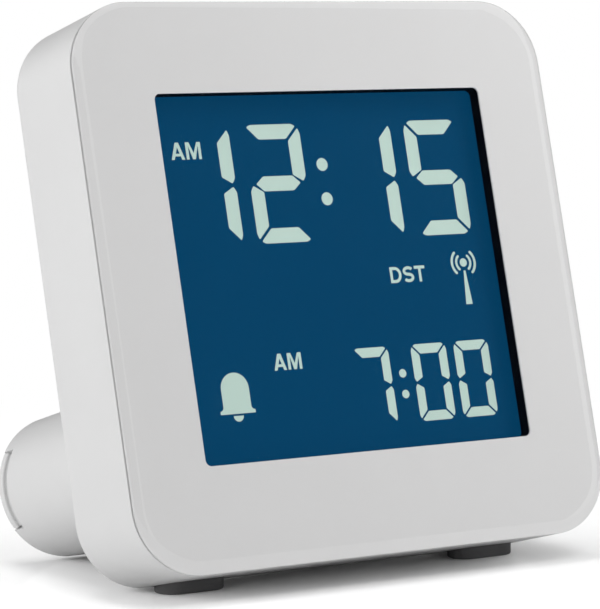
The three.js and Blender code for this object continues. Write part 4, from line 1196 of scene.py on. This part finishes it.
# The Mix node's sockets 6 and 7 are its two colours, and its output 2 is the mixed one
def floorMaterial():
    material, tree, shader = newMaterial("paleFloor")
    tree.nodes.remove(shader)
    seen = rayIs(tree, "Is Camera Ray", "Is Transmission Ray")
    colour = addNode(tree, "ShaderNodeMix", {
        "Factor": seen, 6: (studio["floorPlain"],) * 3 + (1,), 7: (studio["floorGain"],) * 3 + (1,)},
        data_type="RGBA")
    matt = addNode(tree, "ShaderNodeBsdfDiffuse", {"Color": colour.outputs[2]})
    gloss = addNode(tree, "ShaderNodeBsdfGlossy", {
        "Roughness": studio["glossRough"], "Color": (1, 1, 1, 1)})
    surface = mixOf(tree, studio["floorGloss"], matt.outputs["BSDF"], gloss.outputs["BSDF"])
    white = addNode(tree, "ShaderNodeEmission", {"Color": (1, 1, 1, 1), "Strength": 1.0})
    away = addNode(tree, "ShaderNodeVectorMath", {0: objectPlace(tree)}, operation="LENGTH")
    far = addNode(tree, "ShaderNodeMapRange", {
        "Value": away.outputs["Value"], "From Min": studio["clearFrom"], "From Max": studio["clearTo"]},
        interpolation_type="SMOOTHSTEP")
    backdrop = mathOf(tree, "MULTIPLY", far.outputs["Result"], seen)
    feed(tree, tree.nodes["Material Output"], {
        "Surface": mixOf(tree, backdrop, surface, white.outputs["Emission"])})
    return material


def addFloor():
    rim = circle(0, 0, studio["floorRadius"], steps=96)
    mesh = bpy.data.meshes.new("floor")
    mesh.from_pydata(columns(*rim.T, 0).tolist(), [], [list(range(len(rim)))])
    mesh.materials.append(floorMaterial())
    floor = newObject("floor", mesh)
    return floor


# White to look at and in reflections, and dimmer as a light
def addWorld():
    world = bpy.data.worlds.new("studio")
    world.use_nodes = True
    tree = world.node_tree
    shown = rayIs(tree, "Is Camera Ray", "Is Transmission Ray", "Is Glossy Ray")
    strength = addNode(tree, "ShaderNodeMapRange", {
        "Value": shown, "To Min": studio["ambient"], "To Max": 1.0})
    feed(tree, tree.nodes["Background"], {"Strength": strength.outputs["Result"], "Color": (1, 1, 1, 1)})
    bpy.context.scene.world = world


lamps = {
    "right": {"from": (0.28, -0.13, 0.33), "size": 0.20, "power": 1.4, "lights": "clock"},
    "front": {"from": (0.05, -0.90, 0.12), "size": 0.14, "power": 0.12, "lights": "clock"},
    "left": {"from": (-0.60, 0.10, 0.12), "size": 0.50, "power": 1.55, "lights": "both"},
    "top": {"from": (-0.42, 0.34, 0.42), "size": 0.30, "power": 0.5, "lights": "clock"},
    "floorTop": {"from": (-0.05, 0.15, 0.70), "size": 0.34, "power": 1.5, "lights": "floor"},
    "floorFront": {"from": (0.03, -0.35, 0.60), "size": 0.30, "power": 0.9, "lights": "floor"},
    "floorLeft": {"from": (-0.42, -0.06, 0.13), "size": 0.30, "power": 1.3, "lights": "floor"},
    "floorRight": {"from": (0.45, -0.10, 0.14), "size": 0.26, "power": 1.5, "lights": "floor"},
}
aim = Vector((0, 0, 0.035))


# The left lamp lights both. The floor's own lamps leave the clock out and the clock's own leave the floor
# out, so that the shadow and the light on the clock are set apart. No lamp shows in a reflection
def addLamp(name, lamp, floor):
    light = bpy.data.lights.new(name, "AREA")
    light.shape = "DISK"
    light.size = lamp["size"]
    light.energy = lamp["power"]
    holder = newObject(name, light)
    holder.location = lamp["from"]
    holder.visible_glossy = False
    holder.rotation_euler = (aim - holder.location).to_track_quat("-Z", "Y").to_euler()
    if lamp["lights"] != "both":
        receivers = bpy.data.collections.new(name + "_receivers")
        receivers.objects.link(floor)
        receivers.collection_objects[0].light_linking.link_state = (
            "INCLUDE" if lamp["lights"] == "floor" else "EXCLUDE")
        holder.light_linking.receiver_collection = receivers


# Dark cards, as a photographer sets them round a glossy thing: one where the clear panel mirrors the room
# to the camera, and others round about for its rounded edges. Only reflections see them
cards = {
    "mirror": {"azimuth": -72.5, "elevation": 32, "distance": 0.9, "halfWidth": 0.45, "halfHeight": 0.60},
    "left": {"azimuth": -160, "elevation": 5, "distance": 0.6, "halfWidth": 0.715, "halfHeight": 0.30},
    "right": {"azimuth": 10, "elevation": 6, "distance": 0.7, "halfWidth": 0.49, "halfHeight": 0.30},
    "back": {"azimuth": 67, "elevation": 12, "distance": 0.9, "halfWidth": 0.60, "halfHeight": 0.36},
}


# A card faces the clock from centre + distance * (cos azimuth * cos elevation, sin azimuth * cos elevation,
# sin elevation), where the azimuth turns from +X towards +Y
def addCard(name, card, material):
    azimuth, elevation = math.radians(card["azimuth"]), math.radians(card["elevation"])
    towards = Vector((math.cos(azimuth) * math.cos(elevation), math.sin(azimuth) * math.cos(elevation),
                      math.sin(elevation)))
    centre = Vector((0, 0, studio["cardLevel"])) + towards * card["distance"]
    across = towards.cross(Vector((0, 0, 1))).normalized()
    rise = across.cross(towards) * card["halfHeight"]
    side = across * card["halfWidth"]
    corners = [centre - side - rise, centre + side - rise, centre + side + rise, centre - side + rise]
    mesh = bpy.data.meshes.new(name + "_card")
    mesh.from_pydata(corners, [], [[0, 1, 2, 3]])
    mesh.materials.append(material)
    holder = newObject(name + "_card", mesh)
    holder.visible_camera = False
    holder.visible_diffuse = False
    holder.visible_shadow = False


def darkCard():
    material, tree, shader = newMaterial("darkCard")
    feed(tree, shader, {"Base Color": (0.004, 0.004, 0.004, 1), "Specular IOR Level": 0})
    return material


# The photograph is 600 by 609 pixels, and its focal length comes to 3185 of them
view = {
    "azimuth": math.radians(-33.61), "elevation": math.radians(5.567), "distance": 413.29,
    "focal": 3185.0, "frameHeight": 609, "sensor": 36, "aimAcross": -14.918, "aimUp": 34.057,
    "nearest": 0.01, "farthest": 20,
}


def addCamera():
    azimuth, elevation = view["azimuth"], view["elevation"]
    target = Vector((view["aimAcross"], originY, originZ + view["aimUp"]))
    back = Vector((math.sin(azimuth) * math.cos(elevation), -math.cos(azimuth) * math.cos(elevation),
                   math.sin(elevation)))
    camera = bpy.data.cameras.new("camera")
    camera.sensor_width = view["sensor"]
    camera.lens = view["focal"] * view["sensor"] / view["frameHeight"]
    camera.clip_start = view["nearest"]
    camera.clip_end = view["farthest"]
    holder = newObject("camera", camera)
    holder.location = (target + back * view["distance"]) / 1000
    holder.rotation_euler = (-back).to_track_quat("-Z", "Y").to_euler()
    bpy.context.scene.camera = holder


floor = addFloor()
addWorld()
for name, lamp in lamps.items():
    addLamp(name, lamp, floor)
addCamera()
cardMaterial = darkCard()
for name, card in cards.items():
    addCard(name, card, cardMaterial)
bpy.context.scene.view_settings.view_transform = "Standard"
print("studio and camera")

bpy.context.view_layer.update()
